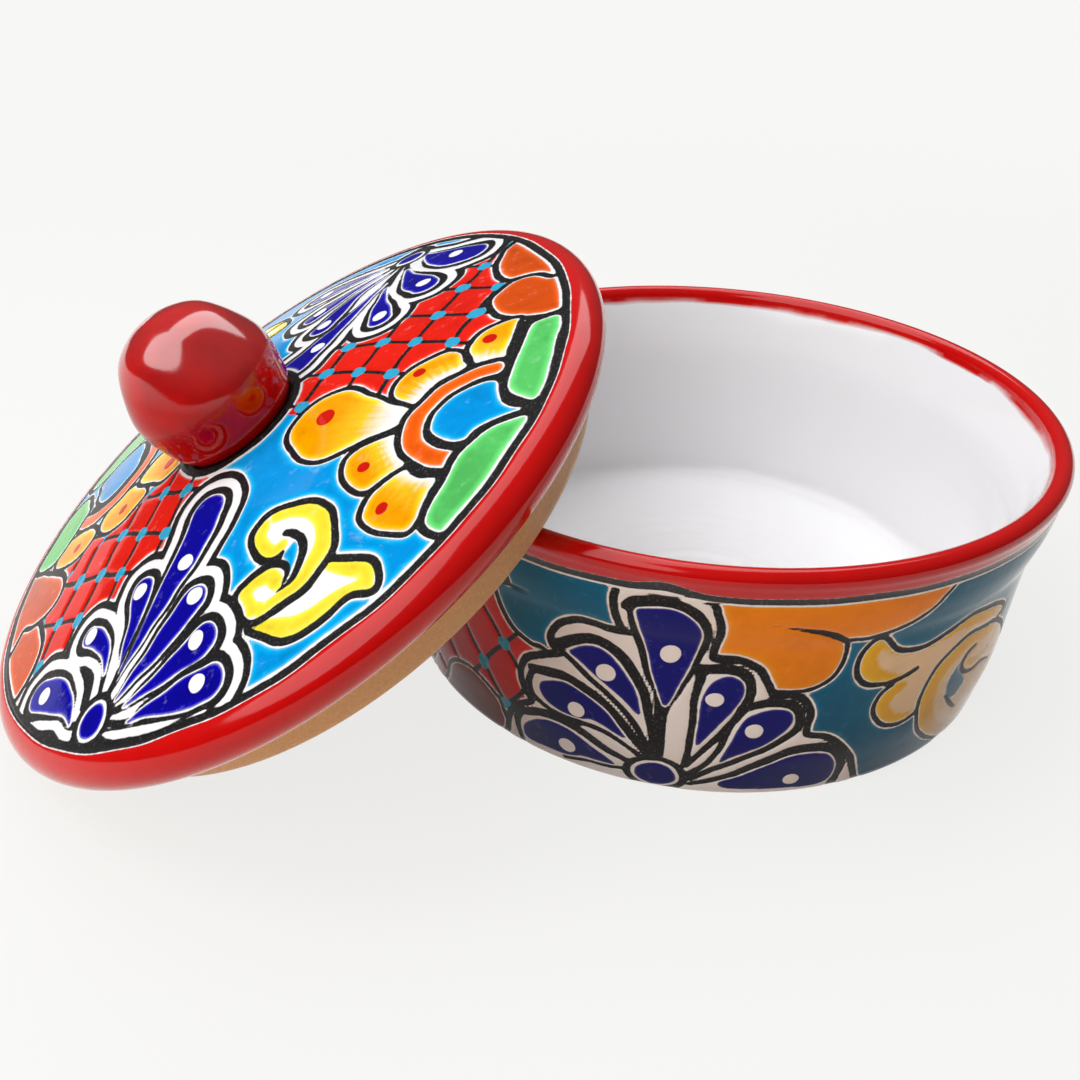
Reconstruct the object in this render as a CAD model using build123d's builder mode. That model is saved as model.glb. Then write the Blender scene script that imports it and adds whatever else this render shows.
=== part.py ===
# Tortilla warmer: a round glazed bowl with a loose domed lid that stands on the table and leans on its lip.
# Units are millimetres.  The origin is the centre of the bowl's base, +Z is up, the lid leans along -X.
import os
from math import cos, radians, sin, sqrt, hypot, pi

from build123d import *

os.makedirs("parts", exist_ok=True)

# Bowl
lip_radius = 120.0        # outermost radius of the rolled lip
lip_round = 3.5           # radius of the rolled lip's own section
bowl_height = 89.5        # top of the lip above the table
collar_drop = 28.0        # from the lip's top down to the kink in the wall outside
collar_inset = 5.6        # from the lip's outermost radius in to that kink
throat_drop = 24.0        # from the lip's top down to the end of the mouth's cone inside
throat_inset = 15.0       # from the lip's outermost radius in to the end of that cone
wall = 2.0 * lip_round    # wall thickness, the same as the lip
belly_inset = 2.4         # from the kink's radius in to the wall half way down
base_inset = 3.7          # from there in to the wall just above the base
base_round = 1.8          # rounding of the base's outer edge
floor_thick = 8.0         # thickness of the bowl's floor
cove = 6.0                # rounding between the floor and the wall inside

# Lid, measured in its own frame: radius from its axis, height from the middle of its edge
edge_inset = 1.6          # the lid's edge stays this far inside the bowl's lip
edge_under = 6.7          # rounding below the edge's middle
edge_over = 7.4           # height of the shoulder above the edge's middle
edge_run = 8.0            # radial run of the shoulder up to the painted face
crown_height = 24.0       # flat crown that carries the knob
crown_radius = 22.5       # radius of that flat crown
face_swell = 1.6          # how far the face swells over the straight cone to the crown
lid_thick = 7.6           # thickness of the lid's shell
flange_thick = 6.0        # locating flange, rounded off at its lower edge
flange_drop = 22.8        # flange's lower edge below the edge's middle
flange_taper = 2.0        # the flange is wider by this at its root
vent_radius = 3.0         # vent from the hollow knob down into the lid

# Knob, heights from its own foot
knob_height = 42.2
knob_foot = 19.9          # radius of the knob's foot
knob_belly = 24.7         # largest radius
knob_belly_at = 15.0      # height of the largest radius
knob_wall = 6.5           # thickness of the hollow knob's wall

# How the lid stands
lean_run = 103.35         # from the bowl's lip out to where the lid's flange stands on the table
flange_play = 4.889       # radial play of the flange in the bowl's mouth when the lid is on
lean_gap = 0.35           # between the leaning flange and the bowl's lip

# Bowl: named points of the section
lip_centre = lip_radius - lip_round
lip_level = bowl_height - lip_round
mouth_radius = lip_radius - wall
kink_radius = lip_radius - collar_inset
kink_level = bowl_height - collar_drop
belly_radius = kink_radius - belly_inset
belly_level = kink_level / 2.0
throat_radius = lip_radius - throat_inset
throat_level = bowl_height - throat_drop
base_radius = belly_radius - base_inset
foot_radius = base_radius - base_round

# Tangent from the kink to the rolled lip, outside
reach_x = lip_centre - kink_radius
reach_z = lip_level - kink_level
reach = hypot(reach_x, reach_z)
tangent = sqrt(reach * reach - lip_round * lip_round)
turn_cos = tangent / reach
turn_sin = lip_round / reach
dir_x = (reach_x * turn_cos + reach_z * turn_sin) / reach
dir_z = (reach_z * turn_cos - reach_x * turn_sin) / reach
lip_foot_x = kink_radius + tangent * dir_x
lip_foot_z = kink_level + tangent * dir_z

with BuildPart() as bowl:
    with BuildSketch(Plane.XZ):
        with BuildLine():
            Line((0, 0), (foot_radius, 0))
            corner = CenterArc((foot_radius, base_round), base_round, -90, 90)
            outside = Spline(
                (base_radius, base_round),
                (belly_radius, belly_level),
                (kink_radius, kink_level),
            )
            collar = Line((kink_radius, kink_level), (lip_foot_x, lip_foot_z))
            lip = ThreePointArc(
                (lip_foot_x, lip_foot_z),
                (lip_centre, bowl_height),
                (mouth_radius, lip_level),
            )
            collar_in = Line((mouth_radius, lip_level), (throat_radius, throat_level))
            inside = Spline(
                (throat_radius, throat_level),
                (belly_radius - wall, belly_level + cove / 3.0),
                (base_radius - wall, floor_thick + cove),
            )
            floor_cove = JernArc(
                (base_radius - wall, floor_thick + cove), (0, -1), cove, -90
            )
            Line((base_radius - wall - cove, floor_thick), (0, floor_thick))
            Line((0, floor_thick), (0, 0))
        make_face()
    revolve(axis=Axis.Z)

# Lid: the flange just fits the mouth at the depth it reaches when the lid is on
edge_radius = lip_radius - edge_inset
edge_centre = edge_radius - edge_under
seat_rise = sqrt((edge_under + lip_round) ** 2 - (lip_centre - edge_centre) ** 2)
closed_level = lip_level + seat_rise
flange_low = closed_level - flange_drop
mouth_slope = (mouth_radius - throat_radius) / (lip_level - throat_level)
mouth_at_flange = throat_radius + (flange_low - throat_level) * mouth_slope
flange_radius = mouth_at_flange - flange_play
flange_round = flange_thick / 2.0
flange_mid = flange_radius - flange_round
flange_level = flange_round - flange_drop

# Where the lid stands: flange edge on the table, and on the bowl's lip at two points
foot_reach = lip_radius + lean_run


def standing(tilt):
    """Lid centre's distance from the bowl's axis and height, with the flange's rounded edge on the table."""
    back = foot_reach - flange_mid * cos(tilt) - flange_level * sin(tilt)
    up = flange_mid * sin(tilt) - flange_level * cos(tilt) + flange_round
    return back, up


def lip_clearance(tilt):
    """Smallest gap between the flange's rounded edge and the rolled lip at this lean."""
    back, up = standing(tilt)
    nearest = foot_reach
    for step in range(181):
        turn = pi * step / 180.0
        along = flange_mid * cos(turn)
        px = -back - along * cos(tilt) - flange_level * sin(tilt)
        py = flange_mid * sin(turn)
        pz = up - along * sin(tilt) + flange_level * cos(tilt)
        away = hypot(hypot(px, py) - lip_centre, pz - lip_level)
        nearest = min(nearest, away - lip_round - flange_round)
    return nearest


lean_step = radians(1.0)
steepest = radians(80.0)
while lip_clearance(steepest - lean_step) > lean_gap:
    steepest = steepest - lean_step
flattest = steepest - lean_step
for halving in range(50):
    tilt = (flattest + steepest) / 2.0
    if lip_clearance(tilt) < lean_gap:
        flattest = tilt
    else:
        steepest = tilt

lean_reach, stand = standing(tilt)
lid_origin = Vector(-lean_reach, 0, stand)
down_slope = Vector(-cos(tilt), 0, -sin(tilt))
lid_up = Vector(-sin(tilt), 0, cos(tilt))
lid_section = Plane(origin=lid_origin, x_dir=down_slope, z_dir=(0, 1, 0))
lid_axis = Axis(lid_origin, lid_up)

face_radius = edge_radius - edge_run
face_mid = (face_radius + crown_radius) / 2.0
face_mid_level = (edge_over + crown_height) / 2.0 + face_swell
roof_radius = flange_radius - flange_thick
roof_level = edge_over - lid_thick
roof_mid = (roof_radius + crown_radius) / 2.0
roof_mid_level = (roof_level + crown_height - lid_thick) / 2.0 + face_swell

with BuildPart() as lid:
    with BuildSketch(lid_section):
        with BuildLine():
            Line((vent_radius, crown_height), (crown_radius, crown_height))
            face = Spline(
                (crown_radius, crown_height),
                (face_mid, face_mid_level),
                (face_radius, edge_over),
            )
            shoulder = EllipticalCenterArc(
                (face_radius, 0), edge_run, edge_over, start_angle=0, arc_size=90
            )
            under = CenterArc((edge_centre, 0), edge_under, -90, 90)
            Line((edge_centre, -edge_under), (flange_radius + flange_taper, -edge_under))
            Line((flange_radius + flange_taper, -edge_under), (flange_radius, flange_level))
            rim = ThreePointArc(
                (flange_radius, flange_level),
                (flange_mid, -flange_drop),
                (flange_radius - flange_thick, flange_level),
            )
            Line((flange_radius - flange_thick, flange_level), (roof_radius, roof_level))
            roof = Spline(
                (roof_radius, roof_level),
                (roof_mid, roof_mid_level),
                (crown_radius, crown_height - lid_thick),
            )
            Line((crown_radius, crown_height - lid_thick), (vent_radius, crown_height - lid_thick))
            Line((vent_radius, crown_height - lid_thick), (vent_radius, crown_height))
        make_face()
    revolve(axis=lid_axis)

# Knob: a hollow rounded bulb luted onto the crown
knob_origin = lid_origin + lid_up * crown_height
knob_section = Plane(origin=knob_origin, x_dir=down_slope, z_dir=(0, 1, 0))
knob_axis = Axis(knob_origin, lid_up)
cap_rise = knob_height - knob_belly_at

with BuildPart() as knob:
    with BuildSketch(knob_section):
        with BuildLine():
            Line((0, knob_height - knob_wall), (0, knob_height))
            cap = Spline(
                (0, knob_height),
                (knob_belly * 0.69, knob_belly_at + cap_rise * 0.75),
                (knob_belly, knob_belly_at),
                (knob_foot, 0),
                tangents=((1, 0), (-0.45, -1)),
            )
            Line((knob_foot, 0), (knob_foot - knob_wall, 0))
            hollow = Spline(
                (knob_foot - knob_wall, 0),
                (knob_belly - knob_wall, knob_belly_at),
                ((knob_belly - knob_wall) * 0.69, knob_belly_at + (cap_rise - knob_wall) * 0.75),
                (0, knob_height - knob_wall),
                tangents=((0.45, 1), (-1, 0)),
            )
        make_face()
    revolve(axis=knob_axis)

bowl.part.label = "bowl"
lid.part.label = "lid"
knob.part.label = "knob"

export_step(bowl.part, "parts/bowl.step")
export_step(lid.part, "parts/lid.step")
export_step(knob.part, "parts/knob.step")
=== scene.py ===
import math

import bpy
import numpy as np
from mathutils import Matrix, Vector


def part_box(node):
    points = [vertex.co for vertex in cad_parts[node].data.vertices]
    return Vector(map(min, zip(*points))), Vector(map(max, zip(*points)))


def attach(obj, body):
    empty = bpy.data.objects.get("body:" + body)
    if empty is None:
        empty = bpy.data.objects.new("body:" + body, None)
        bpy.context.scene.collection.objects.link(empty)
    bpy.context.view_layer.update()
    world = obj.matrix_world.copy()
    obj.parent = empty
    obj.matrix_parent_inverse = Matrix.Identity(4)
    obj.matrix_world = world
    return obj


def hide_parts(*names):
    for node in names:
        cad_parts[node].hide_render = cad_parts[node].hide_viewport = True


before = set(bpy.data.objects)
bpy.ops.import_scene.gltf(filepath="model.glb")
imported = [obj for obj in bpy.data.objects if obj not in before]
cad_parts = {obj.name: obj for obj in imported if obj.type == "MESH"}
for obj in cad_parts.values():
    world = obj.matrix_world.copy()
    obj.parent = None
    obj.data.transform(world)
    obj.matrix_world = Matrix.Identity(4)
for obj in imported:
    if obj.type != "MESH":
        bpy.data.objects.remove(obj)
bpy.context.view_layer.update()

BOWL_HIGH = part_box("bowl")[1]
LID_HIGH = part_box("lid")[1]

bl_info = {
    "name": "Painted tortilla warmer",
    "version": (1, 0, 0),
    "blender": (4, 5, 0),
    "location": "3D View > Sidebar > Warmer",
    "description": "Builds a glazed tortilla warmer: painted bowl, leaning lid and knob",
    "category": "Object",
}

MM = 0.001
TAU = 2.0 * math.pi
TINY = 1e-9

# Bowl section, in millimetres, and the runs that it is made of
LIP_ROUND = 3.5          # radius of the rolled lip's own section
FOOT_ROUND = 1.8         # rounding of the base's outer edge
FOOT_INSET = 13.6        # from the lip's outermost radius in to the flat of the base
FLOOR_THICK = 8.0        # thickness of the bowl's floor
COVE = 6.0               # rounding between the floor and the wall inside
COVE_INSET = 24.75       # from the lip's outermost radius in to the middle of that rounding
BOWL_POINTS = 200        # points of a ring where the bowl is plain
BASE, FOOT, WALL, LIP, INSIDE, FLOOR = range(6)

# Lid section, in millimetres from the middle of its edge, and its runs
EDGE_RUN = 8.0           # radial run of the shoulder over the edge
EDGE_OVER = 7.4          # height of that shoulder
EDGE_UNDER = 6.7         # rounding below the edge
CROWN_RADIUS = 22.5      # flat crown that carries the knob
SHELL = 7.6              # thickness of the lid's shell
VENT_RADIUS = 3.0        # vent from the hollow knob down into the lid
ROOF_RADIUS = 96.73      # inside of the flange
FLANGE_RADIUS = 102.73   # outside of the flange at its lower edge
FLANGE_ROOT = 104.73     # outside of the flange where it leaves the lid
FLANGE_ROUND = 3.0       # rounding of the flange's lower edge
FLANGE_LEVEL = -19.8     # height of the middle of that rounding
LID_POINTS = 225         # points of a ring where the lid is plain
UNDERSIDE, FLANGE_WALL, FLANGE, SEAT, EDGE, FACE = range(6)

# Knob section, in millimetres from its foot
KNOB_FOOT = 19.9         # radius of the foot
KNOB_WALL = 6.5          # thickness of the hollow knob's wall
BELLY_AT = 15.0          # height of the largest radius
KNOB_POINTS = 160        # points of a ring

# Brush work, in millimetres
FAR = 12.0               # stands for out of a brush mark's reach
RELIEF_FADE = 0.6        # width over which the glaze rises beside a line
NET_LINE = 0.8           # half the width of the lattice's lines
NET_DOT = 2.6            # radius of the dots on its crossings
FEATHER_DOT = 2.8        # radius of the dots on the lid's feathers
RING_REACH = 20.0        # from the flower's middle out to where its petals begin
COLLAR_RADIUS = 23.6     # black ring round the knob
BORDER_RADIUS = 110.3    # black ring along the lid's edge
LIP_LINE = 78.3          # height of the black line below the bowl's lip
FAN_BEARING = 118.5      # degrees from the middle of the wall's front fan to the x axis
WALL_SCALE = 1.92        # millimetres of wall to a degree
WALL_START = -95.0       # where the wall's pattern begins, measured from the fan's middle
WALL_REPEAT = 345.6      # length of the pattern, half the way round
DOT_WHITE = (0.93, 0.93, 0.95)       # dots on the feathers
PETAL_WHITE = (0.93, 0.92, 0.88)     # inner ends of the petals
MARKS = ("line", "patch", "dot")     # signed distances kept at the points of a painted piece
TINTS = ("tint", "dot_tint")         # colours kept there

# Stage, in metres
FLOOR_HALF = 6.0         # half the floor's width
FLOOR_SIDE = 9           # points along a side of the floor
LAMP_TURN = math.radians(35.0)       # about the vertical, the same for both lamps
LAMP_HEIGHT = 1.25
LAMPS = (                # name, shape, place along and across, length and width
    ("round_light", "ELLIPSE", -1.80, 0.62, 2.9, 2.6),
    ("strip_light", "RECTANGLE", 0.12, 0.46, 2.3, 0.94),
)
CAMERA_PLACE = (-0.167303, -0.346039, 0.254515)
# Directions to the picture's right, down in it and away from the camera
CAMERA_RIGHT = (0.96255, -0.26940, 0.03046)
CAMERA_DOWN = (-0.11387, -0.50366, -0.85637)
CAMERA_AHEAD = (0.24605, 0.82083, -0.51547)


def srgb(red, green, blue):
    """A colour picked in 0 to 255 display values, as linear light."""
    c = np.array([red, green, blue], float) / 255.0
    low = c / 12.92
    high = ((c + 0.055) / 1.055) ** 2.4
    return tuple(float(v) for v in np.where(c <= 0.04045, low, high))


# Sizes and colours that a user would change

class WarmerSizes(bpy.types.PropertyGroup):
    """Main sizes of the three pieces, in metres, and how the lid stands."""

    lip_radius: bpy.props.FloatProperty(
        name="Lip radius", description="Outermost radius of the bowl's rolled lip",
        default=BOWL_HIGH.y, subtype="DISTANCE", unit="LENGTH")
    bowl_height: bpy.props.FloatProperty(
        name="Bowl height", description="Top of the lip above the table",
        default=BOWL_HIGH.z, subtype="DISTANCE", unit="LENGTH")
    edge_radius: bpy.props.FloatProperty(
        name="Lid radius", description="Outermost radius of the lid's rounded edge",
        default=LID_HIGH.y, subtype="DISTANCE", unit="LENGTH")
    crown_height: bpy.props.FloatProperty(
        name="Crown height", description="Lid's crown above the middle of its edge",
        default=0.024, subtype="DISTANCE", unit="LENGTH")
    knob_height: bpy.props.FloatProperty(
        name="Knob height", description="Knob above the lid's crown",
        default=0.0422, subtype="DISTANCE", unit="LENGTH")
    knob_radius: bpy.props.FloatProperty(
        name="Knob radius", description="Largest radius of the knob",
        default=0.0247, subtype="DISTANCE", unit="LENGTH")
    lid_place: bpy.props.FloatVectorProperty(
        name="Lid place", description="Middle of the lid's edge circle as it leans",
        default=(-0.1513668, 0.0, 0.0748033), size=3, subtype="TRANSLATION", unit="LENGTH")
    lid_lean: bpy.props.FloatProperty(
        name="Lid lean", description="Lid's tilt from lying flat",
        default=math.radians(33.6986), subtype="ANGLE", unit="ROTATION")
    relief: bpy.props.FloatProperty(
        name="Glaze relief", description="How far the glaze stands over the painted lines",
        default=0.00022, subtype="DISTANCE", unit="LENGTH")


class GlazeColours(bpy.types.PropertyGroup):
    """Glaze and clay colours, in linear light."""

    white: bpy.props.FloatVectorProperty(
        name="White glaze", description="Tin white that covers the clay",
        default=srgb(244, 244, 246), size=3, subtype="COLOR", min=0, max=1)
    red: bpy.props.FloatVectorProperty(
        name="Rim red", description="Glossy red of the lip, the lid's edge and the knob",
        default=srgb(204, 4, 2), size=3, subtype="COLOR", min=0, max=1)
    black: bpy.props.FloatVectorProperty(
        name="Line black", description="Brush lines",
        default=srgb(24, 23, 24), size=3, subtype="COLOR", min=0, max=1)
    cobalt: bpy.props.FloatVectorProperty(
        name="Cobalt", description="Feathers", default=srgb(8, 2, 146), size=3,
        subtype="COLOR", min=0, max=1)
    teal: bpy.props.FloatVectorProperty(
        name="Teal", description="Ground of the bowl's wall", default=srgb(0, 106, 150),
        size=3, subtype="COLOR", min=0, max=1)
    amber: bpy.props.FloatVectorProperty(
        name="Amber", description="Deeper orange on the bowl's wall", default=srgb(252, 146, 0),
        size=3, subtype="COLOR", min=0, max=1)
    cream: bpy.props.FloatVectorProperty(
        name="Cream", description="Scrolls on the bowl's wall", default=srgb(248, 218, 176),
        size=3, subtype="COLOR", min=0, max=1)
    sky: bpy.props.FloatVectorProperty(
        name="Sky blue", description="Ground round the scrolls", default=srgb(0, 146, 222),
        size=3, subtype="COLOR", min=0, max=1)
    orange: bpy.props.FloatVectorProperty(
        name="Petal orange", description="Outer part of the petals", default=srgb(248, 160, 0),
        size=3, subtype="COLOR", min=0, max=1)
    yellow: bpy.props.FloatVectorProperty(
        name="Yellow", description="Scroll edges and the middle of the petals",
        default=srgb(247, 222, 52), size=3, subtype="COLOR", min=0, max=1)
    coral: bpy.props.FloatVectorProperty(
        name="Flower ring", description="Band round the flower's heart",
        default=srgb(240, 92, 14), size=3, subtype="COLOR", min=0, max=1)
    brown: bpy.props.FloatVectorProperty(
        name="Cloud orange", description="Two-lobed clouds at the rim",
        default=srgb(206, 76, 12), size=3, subtype="COLOR", min=0, max=1)
    green: bpy.props.FloatVectorProperty(
        name="Leaf green", description="Leaves beside the flower",
        default=srgb(90, 198, 102), size=3, subtype="COLOR", min=0, max=1)
    brick: bpy.props.FloatVectorProperty(
        name="Lattice red", description="Ground of the lattice", default=srgb(226, 30, 14),
        size=3, subtype="COLOR", min=0, max=1)
    berry: bpy.props.FloatVectorProperty(
        name="Petal dot", description="Dots on the petals", default=srgb(202, 24, 8), size=3,
        subtype="COLOR", min=0, max=1)
    turquoise: bpy.props.FloatVectorProperty(
        name="Lattice dot", description="Dots where the lattice crosses",
        default=srgb(48, 164, 204), size=3, subtype="COLOR", min=0, max=1)
    clay: bpy.props.FloatVectorProperty(
        name="Bare clay", description="Unglazed flange and base", default=srgb(240, 202, 156),
        size=3, subtype="COLOR", min=0, max=1)


class StageSettings(bpy.types.PropertyGroup):
    """Floor, lights and camera."""

    floor: bpy.props.FloatVectorProperty(
        name="Floor", description="Pale floor colour", default=(0.86, 0.86, 0.85), size=3,
        subtype="COLOR", min=0, max=1)
    bounce: bpy.props.FloatVectorProperty(
        name="Bounce", description="Warm tone of the light that the floor throws back",
        default=(0.80, 0.57, 0.40), size=3, subtype="COLOR", min=0, max=1)
    soft: bpy.props.FloatProperty(
        name="Soft light", description="Power of each square metre of the lights above", default=7.5)
    fill: bpy.props.FloatProperty(
        name="Sky light", description="Strength of the even light from above", default=0.12)
    backdrop: bpy.props.FloatVectorProperty(
        name="Backdrop", description="Pale tone that the floor fades to",
        default=srgb(247, 247, 245), size=3, subtype="COLOR", min=0, max=1)
    lens: bpy.props.FloatProperty(
        name="Lens", description="Focal length for a 36 mm wide picture",
        default=38.503, unit="CAMERA")


# Curves and surfaces of revolution

def smooth_curve(points, step=1.0, closed=False):
    """Curve through given points: between two of them, the cubic that passes each
    point parallel to the chord of its neighbours.  Further columns, such as a width, go along."""
    p = np.asarray(points, float)
    if closed:
        p = np.concatenate([p[-1:], p, p[:2]])
    else:
        p = np.concatenate([2 * p[:1] - p[1:2], p, 2 * p[-1:] - p[-2:-1]])
    a, b, c, d = p[:-3], p[1:-2], p[2:-1], p[3:]
    span = np.linalg.norm((c - b)[:, :2], axis=1).max()
    count = min(max(3, int(math.ceil(span / step))), 14)
    t = np.linspace(0.0, 1.0, count, endpoint=False)[None, :, None]
    a, b, c, d = (v[:, None] for v in (a, b, c, d))
    q = 0.5 * (2 * b + (c - a) * t + (2 * a - 5 * b + 4 * c - d) * t ** 2
               + (3 * b - a - 3 * c + d) * t ** 3)
    q = q.reshape(-1, p.shape[1])
    return q if closed else np.concatenate([q, p[-2:-1]])


def even_steps(points, count):
    """The same polyline with its length divided into equal parts."""
    p = np.asarray(points, float)
    s = np.concatenate([[0.0], np.cumsum(np.linalg.norm(np.diff(p, axis=0), axis=1))])
    t = np.linspace(0.0, s[-1], count)
    return np.stack([np.interp(t, s, p[:, 0]), np.interp(t, s, p[:, 1])], 1)


def arc_points(centre, radii, start, end, count):
    """Elliptic arc: centre plus the two radii times cosine and sine, from start to end degrees."""
    t = np.radians(np.linspace(start, end, count))
    return np.stack([centre[0] + radii[0] * np.cos(t), centre[1] + radii[1] * np.sin(t)], 1)


def join(*runs):
    """Runs of a section put end to end, without the doubled points where they meet."""
    p = np.concatenate([np.asarray(r, float) for r in runs])
    keep = np.concatenate([[True], np.linalg.norm(np.diff(p, axis=0), axis=1) > 1e-6])
    return p[keep]


def flat_run(start, end, height, count):
    """Straight run of a section at one height, from one radius to another in equal steps."""
    return np.stack([np.linspace(start, end, count), np.full(count, height)], 1)


def to_segment(p, a, b):
    """Distance from points to the straight run from a to b, and the share of the run, 0 to 1, at
    which its nearest place lies."""
    run = b - a
    t = ((p - a) @ run / max(run @ run, TINY)).clip(0.0, 1.0)
    return np.hypot(p[:, 0] - a[0] - t * run[0], p[:, 1] - a[1] - t * run[1]), t


def wander(x, y, scale, seed):
    """Slow unevenness of hand work: a sum of six waves in fixed odd directions, about -1 to 1."""
    k = np.arange(1, 7)
    turn = np.sin(seed * 12.9898 + k * 78.233) * 43758.5453
    turn = (turn - np.floor(turn)) * TAU
    size = (0.6 + 0.28 * k) / scale * TAU
    wave = np.sin(size * (np.asarray(x)[..., None] * np.cos(turn)
                          + np.asarray(y)[..., None] * np.sin(turn)) + 3.1 * turn + seed)
    return wave.sum(-1) / 3.0


class Turned:
    """A surface of revolution: rings of points, each with its own number of points, joined in order.

    A ring is the circle radius times cosine and sine of the angle, at its height.  Where two
    neighbours differ by a whole factor, each wide face takes in that many of the finer edges."""

    def __init__(self, section, counts):
        section = np.asarray(section, float)
        counts = np.asarray(counts, int)
        self.starts = np.concatenate([[0], np.cumsum(counts)])
        self.counts = counts
        ring = np.repeat(np.arange(len(counts)), counts)
        place = np.arange(self.starts[-1]) - self.starts[ring]
        self.ring = ring
        self.angle = TAU * place / counts[ring]
        self.radius = section[ring, 0].copy()
        self.height = section[ring, 1].copy()

    def local(self):
        """Points in the surface's own axes: radius times cosine and sine of the angle, and height."""
        return np.stack([self.radius * np.cos(self.angle), self.radius * np.sin(self.angle),
                         self.height], 1)

    def faces(self):
        """Point numbers of the faces between each two rings: triangles to a pole, and otherwise one
        face for each edge of the coarser ring."""
        out = []
        for i in range(len(self.counts) - 1):
            m, n = self.counts[i], self.counts[i + 1]
            a, b = self.starts[i], self.starts[i + 1]
            if m == 1:
                j = np.arange(n)
                rows = np.stack([np.full(n, a), b + (j + 1) % n, b + j], 1)
            elif n == 1:
                j = np.arange(m)
                rows = np.stack([a + j, a + (j + 1) % m, np.full(m, b)], 1)
            elif n >= m:
                k = n // m
                j = np.arange(m)
                low = [a + j, a + (j + 1) % m]
                rows = np.stack(low + [b + (j * k + s) % n for s in range(k, -1, -1)], 1)
            else:
                k = m // n
                j = np.arange(n)
                high = [b + (j + 1) % n, b + j]
                rows = np.stack([a + (j * k + s) % m for s in range(k + 1)] + high, 1)
            out.append(rows)
        return out


def turn_runs(runs, counts):
    """Turned surface of a section given in runs, and for each point the number of its run."""
    rings = np.concatenate(counts)
    zone = np.repeat(np.repeat(np.arange(len(runs)), [len(run) for run in runs]), rings)
    return Turned(np.concatenate(runs), rings), zone


# Brush work

class Painting:
    """Brush work on a flat sheet of points, in millimetres.

    line, patch and dot are signed distances, below zero inside the black lines, the colour
    patches and the dots; tint and dot_tint are the colours that belong to the last two."""

    def __init__(self, x, y):
        self.p = np.stack([x, y], -1)
        count = len(x)
        self.line = np.full(count, FAR)
        self.patch = np.full(count, FAR)
        self.dot = np.full(count, FAR)
        self.tint = np.ones((count, 3))
        self.dot_tint = np.ones((count, 3))

    def _near(self, q, reach):
        """Numbers of the points inside a path's box, widened by the reach."""
        low, high = q[:, :2].min(0) - reach, q[:, :2].max(0) + reach
        return np.nonzero(((self.p > low) & (self.p < high)).all(1))[0]

    def stroke(self, rows):
        """Distance to a brush stroke: to the nearest point of its path, less the width there."""
        q = smooth_curve(rows)
        gap = np.full(len(self.p), FAR)
        near = self._near(q, FAR + q[:, 2].max())
        p, best = self.p[near], gap[near]
        for a, b in zip(q[:-1], q[1:]):
            away, t = to_segment(p, a[:2], b[:2])
            best = np.minimum(best, away - a[2] - t * (b[2] - a[2]))
        gap[near] = best
        return gap

    def region(self, points):
        """Distance to a closed outline, negative where a ray to the right crosses it an odd
        number of times."""
        q = smooth_curve(points, closed=True)
        gap = np.full(len(self.p), FAR)
        near = self._near(q, FAR)
        p, best = self.p[near], np.full(len(near), 2.0 * FAR)
        inside = np.zeros(len(near), bool)
        for a, b in zip(q, np.roll(q, -1, 0)):
            run = b - a
            best = np.minimum(best, to_segment(p, a, b)[0])
            rise = run[1] if abs(run[1]) > TINY else TINY
            cross = (a[1] > p[:, 1]) != (b[1] > p[:, 1])
            inside ^= cross & (p[:, 0] < a[0] + (p[:, 1] - a[1]) / rise * run[0])
        gap[near] = np.where(inside, -best, np.minimum(best, FAR))
        return gap

    def colour(self, gap, tint):
        """Puts a colour where its patch lies deeper than what was there."""
        take = gap < self.patch
        self.patch = np.where(take, gap, self.patch)
        tint = np.broadcast_to(np.asarray(tint, float), self.tint.shape)
        self.tint = np.where(take[:, None], tint, self.tint)

    def ink(self, gap):
        """Adds black line where the gap is below zero."""
        self.line = np.minimum(self.line, gap)

    def lay(self, gap, tint=None, line=2.2, halo=0.55):
        """Covers what lies under a shape, draws its outline just outside it and fills it
        up to a thin white edge."""
        self.line = np.maximum(self.line, -gap)
        if line > 0:
            self.ink(np.maximum(-gap, gap - line))
        self.patch = np.maximum(self.patch, line + halo - gap)
        self.dot = np.maximum(self.dot, line - gap)
        if tint is not None:
            self.colour(gap + halo, tint)

    def spot(self, gap, tint):
        """Puts dot colour where its dot lies deeper than what was there."""
        take = gap < self.dot
        self.dot = np.where(take, gap, self.dot)
        self.dot_tint = np.where(take[:, None], np.asarray(tint, float), self.dot_tint)

    def dab(self, spots, tint):
        """Round dots (x, y, radius) on top of everything."""
        for x, y, radius in spots:
            self.spot(self.away(x, y) - radius, tint)

    def away(self, x, y):
        """Distance from one place."""
        return np.hypot(self.p[:, 0] - x, self.p[:, 1] - y)


def moved(points, turn=0.0, size=1.0, shift=(0.0, 0.0)):
    """Points turned by degrees, sized and shifted; a third column is a width and is only sized."""
    p = np.asarray(points, float).copy()
    c, s = math.cos(math.radians(turn)), math.sin(math.radians(turn))
    x = (p[:, 0] * c - p[:, 1] * s) * size + shift[0]
    y = (p[:, 0] * s + p[:, 1] * c) * size + shift[1]
    p[:, 0], p[:, 1] = x, y
    if p.shape[1] > 2:
        p[:, 2] *= size
    return p


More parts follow.
